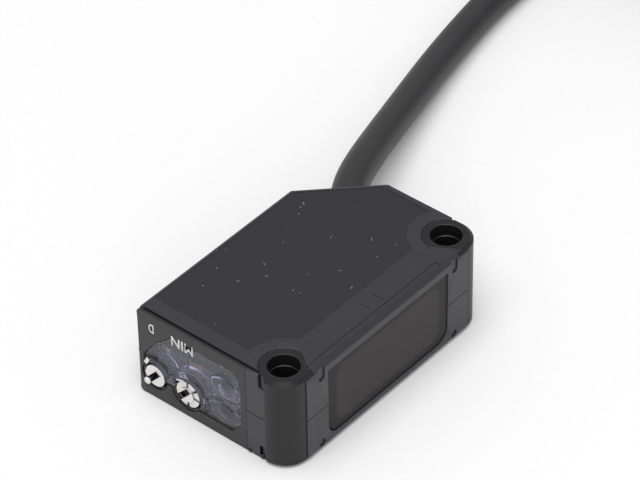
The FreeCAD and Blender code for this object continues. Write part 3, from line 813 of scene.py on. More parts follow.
@dataclass
class Lint:
    """Dust fibres on the top face. Sizes in mm."""

    count: int = 12
    length: float = 0.5
    radius: float = 0.022
    seed: int = 11
    low: Point = (-12.0, -5.0)
    high: Point = (8.0, 8.0)
    top: float = 11.165

    def build(self) -> bpy.types.Object:
        """Scatters short fibres over the top face with a node tree.

        Returns:
            The piece.
        """
        (x0, y0), (x1, y1) = self.low, self.high
        corners = [(x, y, self.top) for x, y in ((x0, y0), (x1, y0), (x1, y1), (x0, y1))]
        patch = from_points("top_lint", corners, [[0, 1, 2, 3]])
        bpy.context.scene.collection.objects.link(patch)
        tree = bpy.data.node_groups.new("scattered_fibres", "GeometryNodeTree")
        tree.interface.new_socket("Geometry", in_out="INPUT", socket_type="NodeSocketGeometry")
        length = tree.interface.new_socket("Fibre length", in_out="INPUT", socket_type="NodeSocketFloat")
        count = tree.interface.new_socket("Density", in_out="INPUT", socket_type="NodeSocketFloat")
        tree.interface.new_socket("Geometry", in_out="OUTPUT", socket_type="NodeSocketGeometry")
        add, link = tree.nodes.new, tree.links.new
        source, sink = add("NodeGroupInput"), add("NodeGroupOutput")
        spread = add("GeometryNodeDistributePointsOnFaces")
        spread.inputs["Seed"].default_value = self.seed
        link(source.outputs["Geometry"], spread.inputs["Mesh"])
        link(source.outputs["Density"], spread.inputs["Density"])
        fibre = add("GeometryNodeMeshCylinder")
        fibre.inputs["Vertices"].default_value = 5
        fibre.inputs["Radius"].default_value = self.radius * MM
        link(source.outputs["Fibre length"], fibre.inputs["Depth"])
        place = add("GeometryNodeInstanceOnPoints")
        turn = add("FunctionNodeRandomValue")
        turn.data_type = "FLOAT_VECTOR"
        turn.inputs["Min"].default_value = (math.pi / 2, 0.0, 0.0)
        turn.inputs["Max"].default_value = (math.pi / 2, 0.0, math.pi)
        turn.inputs["Seed"].default_value = self.seed
        sizes = add("FunctionNodeRandomValue")
        sizes.data_type = "FLOAT"
        sizes.inputs[2].default_value, sizes.inputs[3].default_value = 0.3, 1.0
        link(spread.outputs["Points"], place.inputs["Points"])
        link(fibre.outputs["Mesh"], place.inputs["Instance"])
        link(turn.outputs["Value"], place.inputs["Rotation"])
        link(sizes.outputs[1], place.inputs["Scale"])
        whole, paint = add("GeometryNodeRealizeInstances"), add("GeometryNodeSetMaterial")
        paint.inputs["Material"].default_value = LINT.material()
        link(place.outputs["Instances"], whole.inputs["Geometry"])
        link(whole.outputs["Geometry"], paint.inputs["Geometry"])
        link(paint.outputs["Geometry"], sink.inputs["Geometry"])
        area = (x1 - x0) * MM * (y1 - y0) * MM
        values = {length.identifier: self.length * MM, count.identifier: self.count / area}
        return finished(grown(patch, tree, values), LINT)


def grown(obj: bpy.types.Object, tree: bpy.types.NodeTree, inputs: dict[str, Any]) -> bpy.types.Object:
    """Runs a node tree on an object and keeps the result as a plain mesh.

    Args:
        obj: The object, in the scene.
        tree: The tree.
        inputs: The modifier's inputs, by socket identifier.

    Returns:
        A new object with the old one's name.
    """
    modifier = obj.modifiers.new("made", "NODES")
    modifier.node_group = tree
    for key, value in inputs.items():
        modifier[key] = value
    bpy.context.view_layer.update()
    graph = bpy.context.evaluated_depsgraph_get()
    data = bpy.data.meshes.new_from_object(obj.evaluated_get(graph), depsgraph=graph)
    name = obj.name
    obj.modifiers.remove(modifier)
    bpy.data.objects.remove(obj)
    data.name = name
    return bpy.data.objects.new(name, data)


# ---- lens side ----------------------------------------------------------------------------


@dataclass
class LensSide:
    """The smoked window with its gasket, and the optics behind it. Sizes in mm."""

    face: float = -9.9
    seam_deep: float = 0.06
    seam: tuple[Place, ...] = (
        (9.80, 9.26, 9.40), (8.80, 9.28, 9.52), (7.40, 9.28, 9.56), (6.40, 9.26, 9.40), (5.90, 9.27, 9.62),
        (4.60, 9.28, 9.70), (3.20, 9.26, 9.62), (2.10, 9.05, 9.40), (1.45, 8.60, 8.92), (1.10, 8.10, 8.30),
    )

    def open_seam(self) -> bpy.types.Object:
        """The uneven glue line at the window's end by the cable: each height's two places along X.

        Returns:
            The piece.
        """
        depths = (self.face, self.face + self.seam_deep)
        points = [(x, y, z) for z, x0, x1 in self.seam for x in (x0, x1) for y in depths]
        faces = []
        for i in range(len(self.seam) - 1):
            a, b = 4 * i, 4 * i + 4
            faces += [[a, b, b + 2, a + 2], [a + 1, a + 3, b + 3, b + 1]]
            faces += [[a, a + 1, b + 1, b], [a + 2, b + 2, b + 3, a + 3]]
        last = 4 * len(self.seam) - 4
        faces += [[0, 2, 3, 1], [last, last + 1, last + 3, last + 2]]
        return finished(from_points("window_glue_line", points, faces, False), GASKET)

    def build(self) -> None:
        """Builds the window and dresses what lies behind it."""
        refined("front_window", SMOKE, width=0.05)
        self.open_seam()
        refined("window_gasket", GASKET, width=0.02)
        dressed(LENS, "emitter_lens", "receiver_lens")
        dressed(HOLDER, "lens_holder")
        dressed(BOARD, "optics_board")
        dressed(RED_LED, "emitter_led")
        dressed(SILICON, "receiver_photodiode")
        dressed(SHIELD, "receiver_shield")


# ---- adjuster end -------------------------------------------------------------------------


@dataclass(frozen=True)
class Dial:
    """A knob's place on the adjuster end: y, z and radius in mm."""

    y: float
    z: float
    radius: float


@dataclass(frozen=True)
class Pad:
    """A rounded light guide of the clear window: centre and half sizes in mm."""

    y: float
    z: float
    wide: float
    tall: float

    def reach(self, y: float, z: float) -> float:
        """1 on the pad's edge, less inside it."""
        return math.hypot((y - self.y) / self.wide, (z - self.z) / self.tall)


def eased(low: float, high: float, value: float) -> float:
    """A smooth step from 0 at low to 1 at high."""
    share = min(1.0, max(0.0, (value - low) / (high - low)))
    return share * share * (3 - 2 * share)


def apart(point: Point, loop: Sequence[Point]) -> float:
    """Distance from a point to a closed line.

    Args:
        point: The point.
        loop: The line's corners in order.

    Returns:
        The shortest distance.
    """
    best = math.inf
    px, py = point
    for (ax, ay), (bx, by) in zip(loop, (*loop[1:], loop[0])):
        dx, dy = bx - ax, by - ay
        along = max(0.0, min(1.0, ((px - ax) * dx + (py - ay) * dy) / max(dx * dx + dy * dy, 1e-12)))
        best = min(best, math.hypot(px - ax - along * dx, py - ay - along * dy))
    return best


def inside(point: Point, loop: Sequence[Point]) -> bool:
    """Whether a point lies within a closed line.

    Args:
        point: The point.
        loop: The line's corners in order.

    Returns:
        True within it.
    """
    px, py = point
    odd = False
    for (ax, ay), (bx, by) in zip(loop, (*loop[1:], loop[0])):
        if (ay > py) != (by > py) and px < (bx - ax) * (py - ay) / (by - ay) + ax:
            odd = not odd
    return odd


def face_loops(node: str, x: float) -> list[list[Point]]:
    """Outlines of a CAD node's flat face, the longest first.

    Args:
        node: The node.
        x: Place of the face along X, in mm.

    Returns:
        Closed lines of y, z points in mm.
    """
    cut = bmesh.new()
    cut.from_mesh(NODES[node].data)
    bmesh.ops.remove_doubles(cut, verts=cut.verts, dist=0.001 * MM)
    others = [f for f in cut.faces if any(abs(v.co.x / MM - x) > 0.005 for v in f.verts)]
    bmesh.ops.delete(cut, geom=others, context="FACES")
    left = {e for e in cut.edges if e.is_boundary}
    loops = []
    while left:
        edge = left.pop()
        start, here = edge.verts
        loop = [start, here]
        while here is not start:
            step = next(e for e in here.link_edges if e in left)
            left.discard(step)
            here = step.other_vert(here)
            loop.append(here)
        loops.append([(v.co.y / MM, v.co.z / MM) for v in loop[:-1]])
    cut.free()
    return sorted(loops, key=lambda loop: -sum(math.dist(a, b) for a, b in zip(loop, loop[1:])))


@dataclass
class ClearWindow:
    """The clear moulding: a thin plate with collars round the knobs and two light guides.

    Sizes in mm. Faces and collars are places along X, and gap is the room round each knob.
    """

    mode: Dial
    gain: Dial
    face: float = -14.99
    front: float = -15.2
    thick: float = 0.5
    collar: float = 0.85
    collar_ease: float = 0.25
    collar_end: float = -13.5
    gap: float = 0.3
    lip: float = 0.16
    lip_ease: float = 0.5
    sunk: float = 0.2
    pad_ease: Point = (0.9, 1.12)
    pad_slope: float = 0.1
    grid: float = 0.16
    grid_room: Point = (-0.3, 0.07)
    edge_room: float = 0.06
    well_room: float = 0.008
    well_sides: int = 56
    ring_sides: int = 84
    upper: Pad = Pad(-1.3, 6.2, 2.0, 1.45)
    lower: Pad = Pad(-1.1, 2.75, 2.6, 1.45)
    dome: float = 0.85
    dome_rise: float = 0.07

    @property
    def dials(self) -> tuple[Dial, Dial]:
        """Both knobs' places."""
        return self.mode, self.gain

    def off(self, dial: Dial, y: float, z: float) -> float:
        """Distance from a place to a knob's well, less than 0 inside it."""
        return math.hypot(y - dial.y, z - dial.z) - dial.radius - self.gap

    def near(self, y: float, z: float) -> float:
        """Distance from a place to the nearer well."""
        return min(self.off(dial, y, z) for dial in self.dials)

    def depth(self, y: float, z: float, rim: float) -> float:
        """How far the front surface lies behind the window's highest plane.

        Args:
            y: Place across.
            z: Height.
            rim: Distance to the window's outline.

        Returns:
            The depth in mm.
        """
        collars = 1 - eased(self.collar - self.collar_ease, self.collar, self.near(y, z))
        reach = min(self.upper.reach(y, z), self.lower.reach(y, z))
        pads = 1 - eased(*self.pad_ease, reach)
        level = self.sunk * (1 - max(collars, pads))
        if pads > collars:
            level += self.pad_slope * eased(0.0, 1.0, reach)
        for pad in (self.upper, self.lower):
            off = math.hypot(y - pad.y, z - pad.z) / self.dome
            if off < 1:
                level -= self.dome_rise * math.sqrt(1 - off * off)
        return level * eased(0.0, self.lip_ease, rim) + max(0.0, self.lip - rim)

    def rings(self, dial: Dial, grow: float, steps: int) -> list[Point]:
        """Points on a circle round a knob.

        Args:
            dial: The knob.
            grow: How much larger the circle's radius is, in mm.
            steps: How many points it has.

        Returns:
            The points, in order.
        """
        radius = dial.radius + grow
        turns = (2 * math.pi * i / steps for i in range(steps))
        return [(dial.y + radius * math.cos(t), dial.z + radius * math.sin(t)) for t in turns]

    def free_points(self, outline: Sequence[Point]) -> list[Point]:
        """The net's points between the outline and the wells: rings at each collar, then a grid.

        Args:
            outline: The window's outline.

        Returns:
            The points.
        """
        foot = self.collar
        grown_by = (0.01, 0.3, foot - 0.25, foot - 0.17, foot - 0.09, foot - 0.02, foot + 0.03)
        rings = [
            point
            for dial in self.dials
            for grow in grown_by
            for point in self.rings(dial, self.gap + grow, self.ring_sides)
        ]
        ys, zs = [p[0] for p in outline], [p[1] for p in outline]
        cells = [
            (min(ys) + i * self.grid, min(zs) + j * self.grid)
            for i in range(int((max(ys) - min(ys)) / self.grid) + 1)
            for j in range(int((max(zs) - min(zs)) / self.grid) + 1)
        ]
        low, high = foot + self.grid_room[0], foot + self.grid_room[1]
        apart_from_rings = [p for p in cells if all(not low < self.off(d, *p) < high for d in self.dials)]
        return [
            p for p in (*rings, *apart_from_rings)
            if inside(p, outline) and apart(p, outline) > self.edge_room and self.near(*p) > self.well_room
        ]

    def build(self) -> bpy.types.Object:
        """Builds the moulding as one closed mesh.

        Returns:
            The piece.
        """
        outline = face_loops("indicator_window", self.face)[0]
        loops = [outline, *(self.rings(dial, self.gap, self.well_sides) for dial in self.dials)]
        fixed: list[Point] = [p for loop in loops for p in loop]
        edges, start = [], 0
        for loop in loops:
            edges += [(start + i, start + (i + 1) % len(loop)) for i in range(len(loop))]
            start += len(loop)
        points = [Vector(p) for p in (*fixed, *self.free_points(outline))]
        made = delaunay_2d_cdt(points, edges, [], 0, 1e-6)
        flat = [tuple(p) for p in made[0]]
        kept = [t for t in made[2] if self.solid_at(t, flat, outline)]
        return finished(self.thickened(flat, kept, outline), CLEAR, stands_for=["indicator_window"])

    def solid_at(self, triangle: Sequence[int], flat: Sequence[Point], outline: Sequence[Point]) -> bool:
        """Whether a triangle lies on the moulding and not in a well or outside it."""
        middle = tuple(sum(flat[i][axis] for i in triangle) / 3 for axis in (0, 1))
        return self.near(*middle) > -0.005 and inside(middle, outline)

    def thickened(
        self, flat: Sequence[Point], triangles: Sequence[Sequence[int]], outline: Sequence[Point]
    ) -> bpy.types.Object:
        """Gives the flat net its front and back surfaces and its walls.

        Args:
            flat: The net's points.
            triangles: Its faces, anticlockwise in y and z.
            outline: The window's outline.

        Returns:
            The closed moulding.
        """
        used = sorted({i for t in triangles for i in t})
        number = {old: new for new, old in enumerate(used)}
        count = len(used)
        fronts, backs = [], []
        for index in used:
            y, z = flat[index]
            x = self.front + self.depth(y, z, apart((y, z), outline))
            fronts.append((x, y, z))
            backs.append((self.collar_end if self.near(y, z) < self.collar else x + self.thick, y, z))
        faces = []
        sides: dict[tuple[int, int], None] = {}
        for triangle in triangles:
            a, b, c = (number[i] for i in triangle)
            (ay, az), (by, bz), (cy, cz) = (flat[i] for i in triangle)
            if (by - ay) * (cz - az) - (bz - az) * (cy - ay) < 0:
                b, c = c, b
            faces += [[a, c, b], [a + count, b + count, c + count]]
            sides.update(dict.fromkeys(((a, b), (b, c), (c, a))))
        for a, b in sides:
            if (b, a) not in sides:
                faces.append([a, b, b + count, a + count])
        return from_points("indicator_window_clear", [*fronts, *backs], faces)


@dataclass
class Lettering:
    """Printed marks on the adjuster end. Sizes in mm."""

    plane: float = -15.245
    rise: float = 0.006

    def build(self) -> None:
        """Prints the two control marks and the two index lines."""
        self.word("MIN", (2.55, 9.8), 2.9, 1.25)
        self.word("D", (7.78, 9.78), 0.68, 1.12)
        self.dash("mode", (8.98, 4.45), -62, 0.95, 0.42)
        self.dash("sensitivity", (4.5, 4.34), -14, 1.06, 0.22)

    def word(self, text: str, start: Point, width: float, height: float) -> bpy.types.Object:
        """One mark, upside down as the sensor lies.

        Args:
            text: The letters.
            start: y, z of their lower left corner, which lies at the right.
            width: Length of the word.
            height: Height of its letters.

        Returns:
            The piece.
        """
        data = bpy.data.curves.new("mark_" + text, "FONT")
        data.body, data.resolution_u, data.offset = text, 4, 0.012
        letters = bpy.data.objects.new("mark_" + text, data)
        bpy.context.scene.collection.objects.link(letters)
        bpy.context.view_layer.update()
        graph = bpy.context.evaluated_depsgraph_get()
        flat = bpy.data.meshes.new_from_object(letters.evaluated_get(graph), depsgraph=graph)
        bpy.data.objects.remove(letters)
        cut = bmesh.new()
        cut.from_mesh(flat)
        xs, ys = [v.co.x for v in cut.verts], [v.co.y for v in cut.verts]
        wide, tall = width / (max(xs) - min(xs)), height / (max(ys) - min(ys))
        for vert in cut.verts:
            across, up = (vert.co.x - min(xs)) * wide, (vert.co.y - min(ys)) * tall
            vert.co = Vector((self.plane, start[0] + across, start[1] - up)) * MM
        return self.inked(cut, "mark_" + text.lower())

    def dash(self, name: str, middle: Point, turn: float, length: float, width: float) -> bpy.types.Object:
        """An index line beside a knob.

        Args:
            name: The knob's name.
            middle: y, z of its middle.
            turn: Its turn from +Y towards +Z, in degrees.
            length: Its length.
            width: Its width.

        Returns:
            The piece.
        """
        along = Vector((0, math.cos(math.radians(turn)), math.sin(math.radians(turn))))
        across = Vector((0, -along.z, along.y))
        cut = bmesh.new()
        centre = Vector((self.plane, *middle))
        signs = ((-1, -1), (1, -1), (1, 1), (-1, 1))
        corners = [centre + along * s * length / 2 + across * t * width / 2 for s, t in signs]
        cut.faces.new([cut.verts.new(corner * MM) for corner in corners])
        return self.inked(cut, name + "_index_line")

    def inked(self, cut: bmesh.types.BMesh, name: str) -> bpy.types.Object:
        """Gives a flat mark its ink thickness.

        Args:
            cut: The flat mesh, which is freed.
            name: The piece's name.

        Returns:
            The piece.
        """
        for face in cut.faces:
            if face.normal.x > 0:
                face.normal_flip()
        cut.normal_update()
        lifted = bmesh.ops.extrude_face_region(cut, geom=list(cut.faces))
        moved = [v for v in lifted["geom"] if isinstance(v, bmesh.types.BMVert)]
        bmesh.ops.translate(cut, verts=moved, vec=(-self.rise * MM, 0, 0))
        bmesh.ops.recalc_face_normals(cut, faces=cut.faces)
        data = bpy.data.meshes.new(name)
        cut.to_mesh(data)
        cut.free()
        return finished(bpy.data.objects.new(name, data), PRINT)


@dataclass
class AdjusterEnd:
    """The mask with its clear window, both knobs and what lies behind them.

    Sizes in mm. Depths run inwards from the knobs' face, and nose and stem lie out from the axis.
    """

    mode: Dial = Dial(8.0, 2.9, 1.28)
    gain: Dial = Dial(3.72, 2.75, 1.55)
    rest: float = -48.0
    nubs: tuple[tuple[Place, float], ...] = (
        ((-15.2, -4.6, 0.26), 0.26), ((-15.16, -6.2, 0.3), 0.3), ((-15.1, 9.9, 5.4), 0.22),
    )
    nub_height: float = 0.7
    nub_foot: float = -0.1
    knob_face: float = -15.2
    knob_edge: float = 0.07
    slot_depth: float = 0.85
    pit_depth: float = 1.0
    nose: float = 0.4
    nose_out: float = 1.4
    nose_low: float = 0.07
    nose_rise: float = 0.2
    nose_edge: float = 0.09
    stem: float = 0.22
    stem_out: float = 1.2
    stem_foot: float = -0.9

    def build(self) -> None:
        """Builds the end's pieces."""
        refined("end_panel", MASK, width=0.07)
        ClearWindow(self.mode, self.gain).build()
        Lettering().build()
        self.gate_nubs()
        # Darker materials that paint shade into the knobs' pits, slot floors and walls.
        inner = [ADJUSTER, SKIRT, SHADE]
        refined("mode_knob", KNOB, Body.MODE, self.knob_edge, self.knob_look, inner)
        refined("sensitivity_knob", KNOB, Body.SENSITIVITY, self.knob_edge, self.knob_look, inner)
        self.pointer()
        dressed(SEAL, "mode_seal", "sensitivity_seal")
        dressed(ADJUSTER, "mode_switch_body", "sensitivity_pot_body")

    def gate_nubs(self) -> None:
        """Small torn-off gate stubs of the moulding, round the edge of the end."""
        for number, (place, radius) in enumerate(self.nubs):
            tall = self.nub_height
            rows = [(radius * math.cos(t), tall * radius * math.sin(t)) for t in (0.0, 0.4, 0.8, 1.2)]
            profile = [(TIP, self.nub_foot), (radius, self.nub_foot), *rows, (TIP, tall * radius)]
            finished(end_turned(f"gate_nub_{number + 1}", profile, Vector(place), 14), SLEEVE)

    def knob_look(self, middle: Vector, normal: Vector) -> int:
        """Picks the material of a knob's face.

        Args:
            middle: The face's middle, in mm.
            normal: Its normal.

        Returns:
            3 on the slot's floor and 1 in its pit, both dark as painted shade, 2 on walls, greyer as painted
            shade, and 0 on the knob's white front.
        """
        # Deep faces and side walls of the white knob get darker materials as painted shade.
        if middle.x > self.knob_face + self.slot_depth:
            return 1 if middle.x > self.knob_face + self.pit_depth else 3
        return 2 if abs(normal.x) < 0.2 else 0

    def pointer(self) -> None:
        """The rounded nose at the mouth of the mode knob's slot, and its stem, coloured dark as painted shade
        in the slot.
        """
        turn = math.radians(self.rest)
        low, high, edge = self.nose_low, self.nose_low + self.nose_rise, self.nose_edge
        rim = [(self.nose, low), (self.nose, high - edge), (self.nose - edge, high)]
        head = [(TIP, low), *rim, (TIP, high)]
        post = [(TIP, self.stem_foot), (self.stem, self.stem_foot), (self.stem, low), (TIP, low)]
        # The stem takes the dark adjuster material as painted shade under the white nose.
        for name, profile, out, look in (
            ("stem", post, self.stem_out, ADJUSTER),
            ("pointer", head, self.nose_out, KNOB),
        ):
            y, z = self.mode.y + out * math.cos(turn), self.mode.z + out * math.sin(turn)
            obj = end_turned("mode_knob_" + name, profile, Vector((self.knob_face, y, z)))
            finished(bevelled(obj, 0.03), look, Body.MODE)


# ---- inside -------------------------------------------------------------------------------


@dataclass
class Inside:
    """The circuit board and what it carries. Sizes in mm."""

    edge: float = -13.4
    contacts: tuple[Point, ...] = ((2.9, 4.6), (7.1, 8.3))
    contact_z: Point = (5.3, 5.95)
    contact_t: float = 0.045

    def edge_contacts(self) -> bpy.types.Object:
        """Gold pads on the board's front edge.

        Returns:
            The piece.
        """
        points, faces = [], []
        sides = ((0, 1, 3, 2), (4, 6, 7, 5), (0, 4, 5, 1), (2, 3, 7, 6), (0, 2, 6, 4), (1, 5, 7, 3))
        faces_at = (self.edge - self.contact_t, self.edge)
        for ys in self.contacts:
            start = len(points)
            points += [(x, y, z) for x in faces_at for y in ys for z in self.contact_z]
            faces += [[start + i for i in side] for side in sides]
        return finished(bevelled(from_points("board_edge_contacts", points, faces), 0.015), GOLD)

    def build(self) -> None:
        """Dresses the board's nodes."""
        dressed(BOARD, "circuit_board")
        self.edge_contacts()
        dressed(COMPONENTS, "board_components")
        dressed(HOLDER, "control_chip")
        dressed(STABLE, "stability_led")
        dressed(OPERATE, "operation_led")
        dressed(CLAMP, "cable_clamp")
        for colour, finish in LEADS.items():
            dressed(finish, "inner_lead_" + colour)


# ---- cable --------------------------------------------------------------------------------


@dataclass
class Cable:
    """The cable: its free run, the folded length in its tie, and the stripped end. Sizes in mm."""

    radius: float = 1.9
    start: Place = (10.244, 3.584, 5.6)
    exit: Place = (12.507, 5.847, 5.6)
    route: tuple[Place, ...] = (
        (13.56, 6.90, 5.60), (15.92, 8.75, 5.60), (18.53, 10.23, 5.52), (21.86, 11.61, 5.20),
        (26.75, 13.39, 4.35), (34.33, 15.96, 3.10), (45.84, 19.37, 2.10), (58.60, 21.75, 1.93),
        (74.50, 22.30, 1.92),
    )
    hank_x: float = 90.1
    hank_y: float = 7.1
    run: float = 61.7
    tracks: Point = (11.4, 15.2)
    layers: int = 5
    jacket_end: float = 6.0
    core: float = 0.6
    core_hidden: float = 1.5
    core_wave: float = 0.18

    def states(self) -> list[Point]:
        """The hank's turns, whose tracks are inner and outer by turns.

        Returns:
            Radius and height of each turn.
        """
        inner, outer = self.tracks
        places = [outer]
        found: list[Point] = []
        for layer in range(self.layers):
            z = self.radius * (2 * layer + 1)
            first, second = (outer, inner) if places[-1] == outer else (inner, outer)
            found += [(first, z), (second, z)]
            places.append(second)
        return found

    def bend(self, x: float, side: int, radius: float, z: float) -> list[Place]:
        """Points of a half turn at one end of the hank.

        Args:
            x: Where its straight runs end.
            side: 1 at the far end, where it goes from +Y to -Y, or -1.
            radius: Its radius.
            z: Its height.

        Returns:
            The points in order.
        """
        out = radius / math.cos(math.radians(15))
        turns = [math.radians(t) for t in (75, 45, 15, -15, -45, -75)]
        points = [(x, self.hank_y + side * radius, z)]
        points += [(x + side * out * math.cos(t), self.hank_y + side * out * math.sin(t), z) for t in turns]
        return [*points, (x, self.hank_y - side * radius, z)]

    def points(self) -> list[Place]:
        """The cable's whole route, from inside the case to the end of its jacket.

        Returns:
            Its points in order, in mm.
        """
        far = self.hank_x + self.run
        path = [self.start, *self.route, (self.hank_x, self.hank_y + self.tracks[1], self.radius)]
        states = self.states()
        for (radius, z), (after, above) in zip(states, states[1:]):
            middle = (self.hank_x + far) / 2
            path.append((middle, self.hank_y + radius, z))
            path += self.bend(far, 1, radius, z)
            path.append((middle, self.hank_y - (radius + after) / 2, (z + above) / 2))
            path += self.bend(self.hank_x, -1, after, above)
        last, z = states[-1]
        path += [(self.hank_x + self.jacket_end, self.hank_y + last, z)]
        return path

    def spline(
        self, name: str, points: Sequence[Any], radius: float, steps: int, sides: int
    ) -> bpy.types.Object:
        """A round tube along a smooth line.

        Args:
            name: Its name.
            points: The line's control points in mm.
            radius: Its radius in mm.
            steps: Rings for each point.
            sides: Bevel resolution.

        Returns:
            The curve object.
        """
        data = bpy.data.curves.new(name, "CURVE")
        data.dimensions = "3D"
        line = data.splines.new("NURBS")
        line.points.add(len(points) - 1)
        for point, place in zip(line.points, points):
            point.co = (*(Vector(place) * MM), 1.0)
        line.order_u = 3
        line.use_endpoint_u = True
        line.resolution_u = steps
        line.use_smooth = True
        data.bevel_depth, data.bevel_resolution = radius * MM, sides
        data.use_fill_caps = True
        return bpy.data.objects.new(name, data)

    def length(self, obj: bpy.types.Object) -> float:
        """Length of a curve object's line in metres."""
        return sum(spline.calc_length() for spline in obj.data.splines)

    def build(self) -> None:
        """Builds the cable first, then what is on it."""
        obj = self.spline("cable_jacket", self.points(), self.radius, 10, 6)
        finished(obj, JACKET, stands_for=["cable", "cable_hank"])
        refined("cable_bushing", SEAL, width=0.08)
        on_it = [refined("hank_tie", TIE, width=0.3), *self.stripped_end()]
        real = round(self.length(obj), 3)
        LOG.info("cable length %.3f m", real)

    def stripped_end(self) -> list[bpy.types.Object]:
        """The insulated cores, slightly wavy, and the bare twisted strands at their ends.

        Returns:
            The pieces.
        """
        made = []
        for place, colour in enumerate(LEADS):
            low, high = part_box("lead_" + colour)
            y, z = (low[1] + high[1]) / 2 / MM, (low[2] + high[2]) / 2 / MM
            x0, x1 = low[0] / MM - self.core_hidden, high[0] / MM
            line = [(x0, self.hank_y + self.tracks[0] + (place - 1) * 0.6, z + 0.7)]
            for t in (0.2, 0.45, 0.7, 0.9):
                line.append((x0 + (x1 - x0) * t, y + self.core_wave * math.sin(9 * t + place), z + 0.05))
            lead = self.spline("lead_core_" + colour, [*line, (x1, y, z)], self.core, 8, 5)
            made.append(finished(lead, LEADS[colour], stands_for=["lead_" + colour]))
        low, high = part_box("lead_tips")
        middle = (self.hank_y + self.tracks[0], (low[2] + high[2]) / 2 / MM)
        return [*made, Strands(low[0] / MM, high[0] / MM, *middle).build()]


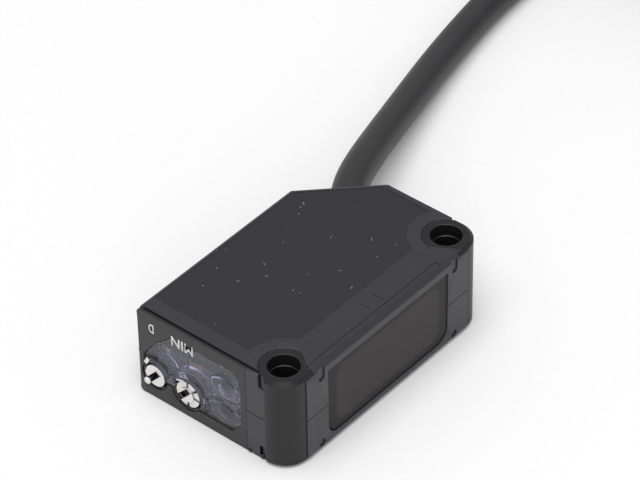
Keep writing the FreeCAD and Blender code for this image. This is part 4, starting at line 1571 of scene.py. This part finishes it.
@dataclass
class Strands:
    """Bare twisted strands at the ends of the three cores. Sizes in mm."""

    x0: float
    x1: float
    y: float
    z: float
    spread: float = 1.25
    bundle: float = 0.22
    strand: float = 0.11
    count: int = 6
    twist: float = 2.6

    def build(self) -> bpy.types.Object:
        """Twists the strands with a node tree, which puts one helix on each of three points.

        Returns:
            The piece.
        """
        points = [(self.x0, self.y + side * self.spread, self.z) for side in (-1, 0, 1)]
        cores = from_points("lead_strands", points, [])
        bpy.context.scene.collection.objects.link(cores)
        tree = bpy.data.node_groups.new("twisted_strands", "GeometryNodeTree")
        tree.interface.new_socket("Geometry", in_out="INPUT", socket_type="NodeSocketGeometry")
        values = {
            "Length": (self.x1 - self.x0) * MM,
            "Bundle radius": self.bundle * MM,
            "Strand radius": self.strand * MM,
            "Turns": self.twist,
            "Strands": self.count,
        }
        keys = {}
        for name, value in values.items():
            kind = "NodeSocketInt" if isinstance(value, int) else "NodeSocketFloat"
            keys[name] = tree.interface.new_socket(name, in_out="INPUT", socket_type=kind).identifier
        tree.interface.new_socket("Geometry", in_out="OUTPUT", socket_type="NodeSocketGeometry")
        add, link = tree.nodes.new, tree.links.new
        source, sink = add("NodeGroupInput"), add("NodeGroupOutput")
        helix = add("GeometryNodeCurveSpiral")
        helix.inputs["Resolution"].default_value = 16
        for key, name in (
            ("Rotations", "Turns"),
            ("Start Radius", "Bundle radius"),
            ("End Radius", "Bundle radius"),
            ("Height", "Length"),
        ):
            link(source.outputs[name], helix.inputs[key])
        ring = add("GeometryNodeMeshLine")
        ring.inputs["Offset"].default_value = (0, 0, 0)
        link(source.outputs["Strands"], ring.inputs["Count"])
        index, step = add("GeometryNodeInputIndex"), add("ShaderNodeMath")
        step.operation = "MULTIPLY"
        step.inputs[1].default_value = 2 * math.pi / self.count
        turn = add("ShaderNodeCombineXYZ")
        link(index.outputs[0], step.inputs[0])
        link(step.outputs[0], turn.inputs["Z"])
        each = add("GeometryNodeInstanceOnPoints")
        link(ring.outputs["Mesh"], each.inputs["Points"])
        link(turn.outputs[0], each.inputs["Rotation"])
        section, skin = add("GeometryNodeCurvePrimitiveCircle"), add("GeometryNodeCurveToMesh")
        section.inputs["Resolution"].default_value = 8
        skin.inputs["Fill Caps"].default_value = True
        link(source.outputs["Strand radius"], section.inputs["Radius"])
        link(helix.outputs[0], skin.inputs["Curve"])
        link(section.outputs["Curve"], skin.inputs["Profile Curve"])
        link(skin.outputs["Mesh"], each.inputs["Instance"])
        aim = add("GeometryNodeTransform")
        aim.inputs["Rotation"].default_value = (0, math.pi / 2, 0)
        link(each.outputs["Instances"], aim.inputs["Geometry"])
        cores_at = add("GeometryNodeInstanceOnPoints")
        link(source.outputs["Geometry"], cores_at.inputs["Points"])
        link(aim.outputs["Geometry"], cores_at.inputs["Instance"])
        whole, smooth = add("GeometryNodeRealizeInstances"), add("GeometryNodeSetShadeSmooth")
        paint = add("GeometryNodeSetMaterial")
        paint.inputs["Material"].default_value = TINNED.material()
        link(cores_at.outputs["Instances"], whole.inputs["Geometry"])
        link(whole.outputs["Geometry"], smooth.inputs["Geometry"])
        link(smooth.outputs["Geometry"], paint.inputs["Geometry"])
        link(paint.outputs["Geometry"], sink.inputs["Geometry"])
        twisted = grown(cores, tree, {keys[name]: value for name, value in values.items()})
        return finished(twisted, TINNED, stands_for=["lead_tips"])


# ---- studio -------------------------------------------------------------------------------


@dataclass(frozen=True)
class Studio:
    """Pale floor, soft lamps and a plain bright room. Sizes in mm."""

    room: float = 0.5
    half: float = 3000.0
    floor_z: float = -0.02
    lamps: tuple[Softbox, ...] = (
        Softbox("top_softbox", (-0.25, -0.1, 1.3), 1.1, 13.5),
        Softbox("side_softbox", (-1.0, -0.9, 0.7), 0.8, 4.0),
    )

    def build(self) -> None:
        """Builds the floor, the lamps and the room."""
        world = bpy.data.worlds.new("room")
        world.use_nodes = True
        back = world.node_tree.nodes["Background"]
        back.inputs["Color"].default_value = (1.0, 1.0, 1.0, 1.0)
        back.inputs["Strength"].default_value = self.room
        bpy.context.scene.world = world
        bpy.context.scene.view_settings.view_transform = "Standard"
        signs = ((-1, -1), (1, -1), (1, 1), (-1, 1))
        corners = [(s * self.half, t * self.half, self.floor_z) for s, t in signs]
        floor = from_points("floor", corners, [[0, 1, 2, 3]])
        shader = Shader("floor_paper")
        paper = shader.mix(shader.noise(0.6 * MM, 2.0), (0.83, 0.83, 0.83), (0.86, 0.86, 0.86))
        look = shader.finish(Base_Color=paper, Roughness=0.9, Specular_IOR_Level=0.1)
        floor.data.materials.append(look)
        bpy.context.scene.collection.objects.link(floor)
        [lamp.hang() for lamp in self.lamps]


def main() -> None:
    """Builds the view, the cable and every part of the sensor, in that order."""
    logging.basicConfig(level=logging.INFO, format="%(message)s")
    Viewpoint().place()
    sections: Sequence[Any] = (Cable(), Case(), Lint(), LensSide(), AdjusterEnd(), Inside(), Studio())
    for section in sections:
        section.build()


if __name__ == "__main__":
    main()
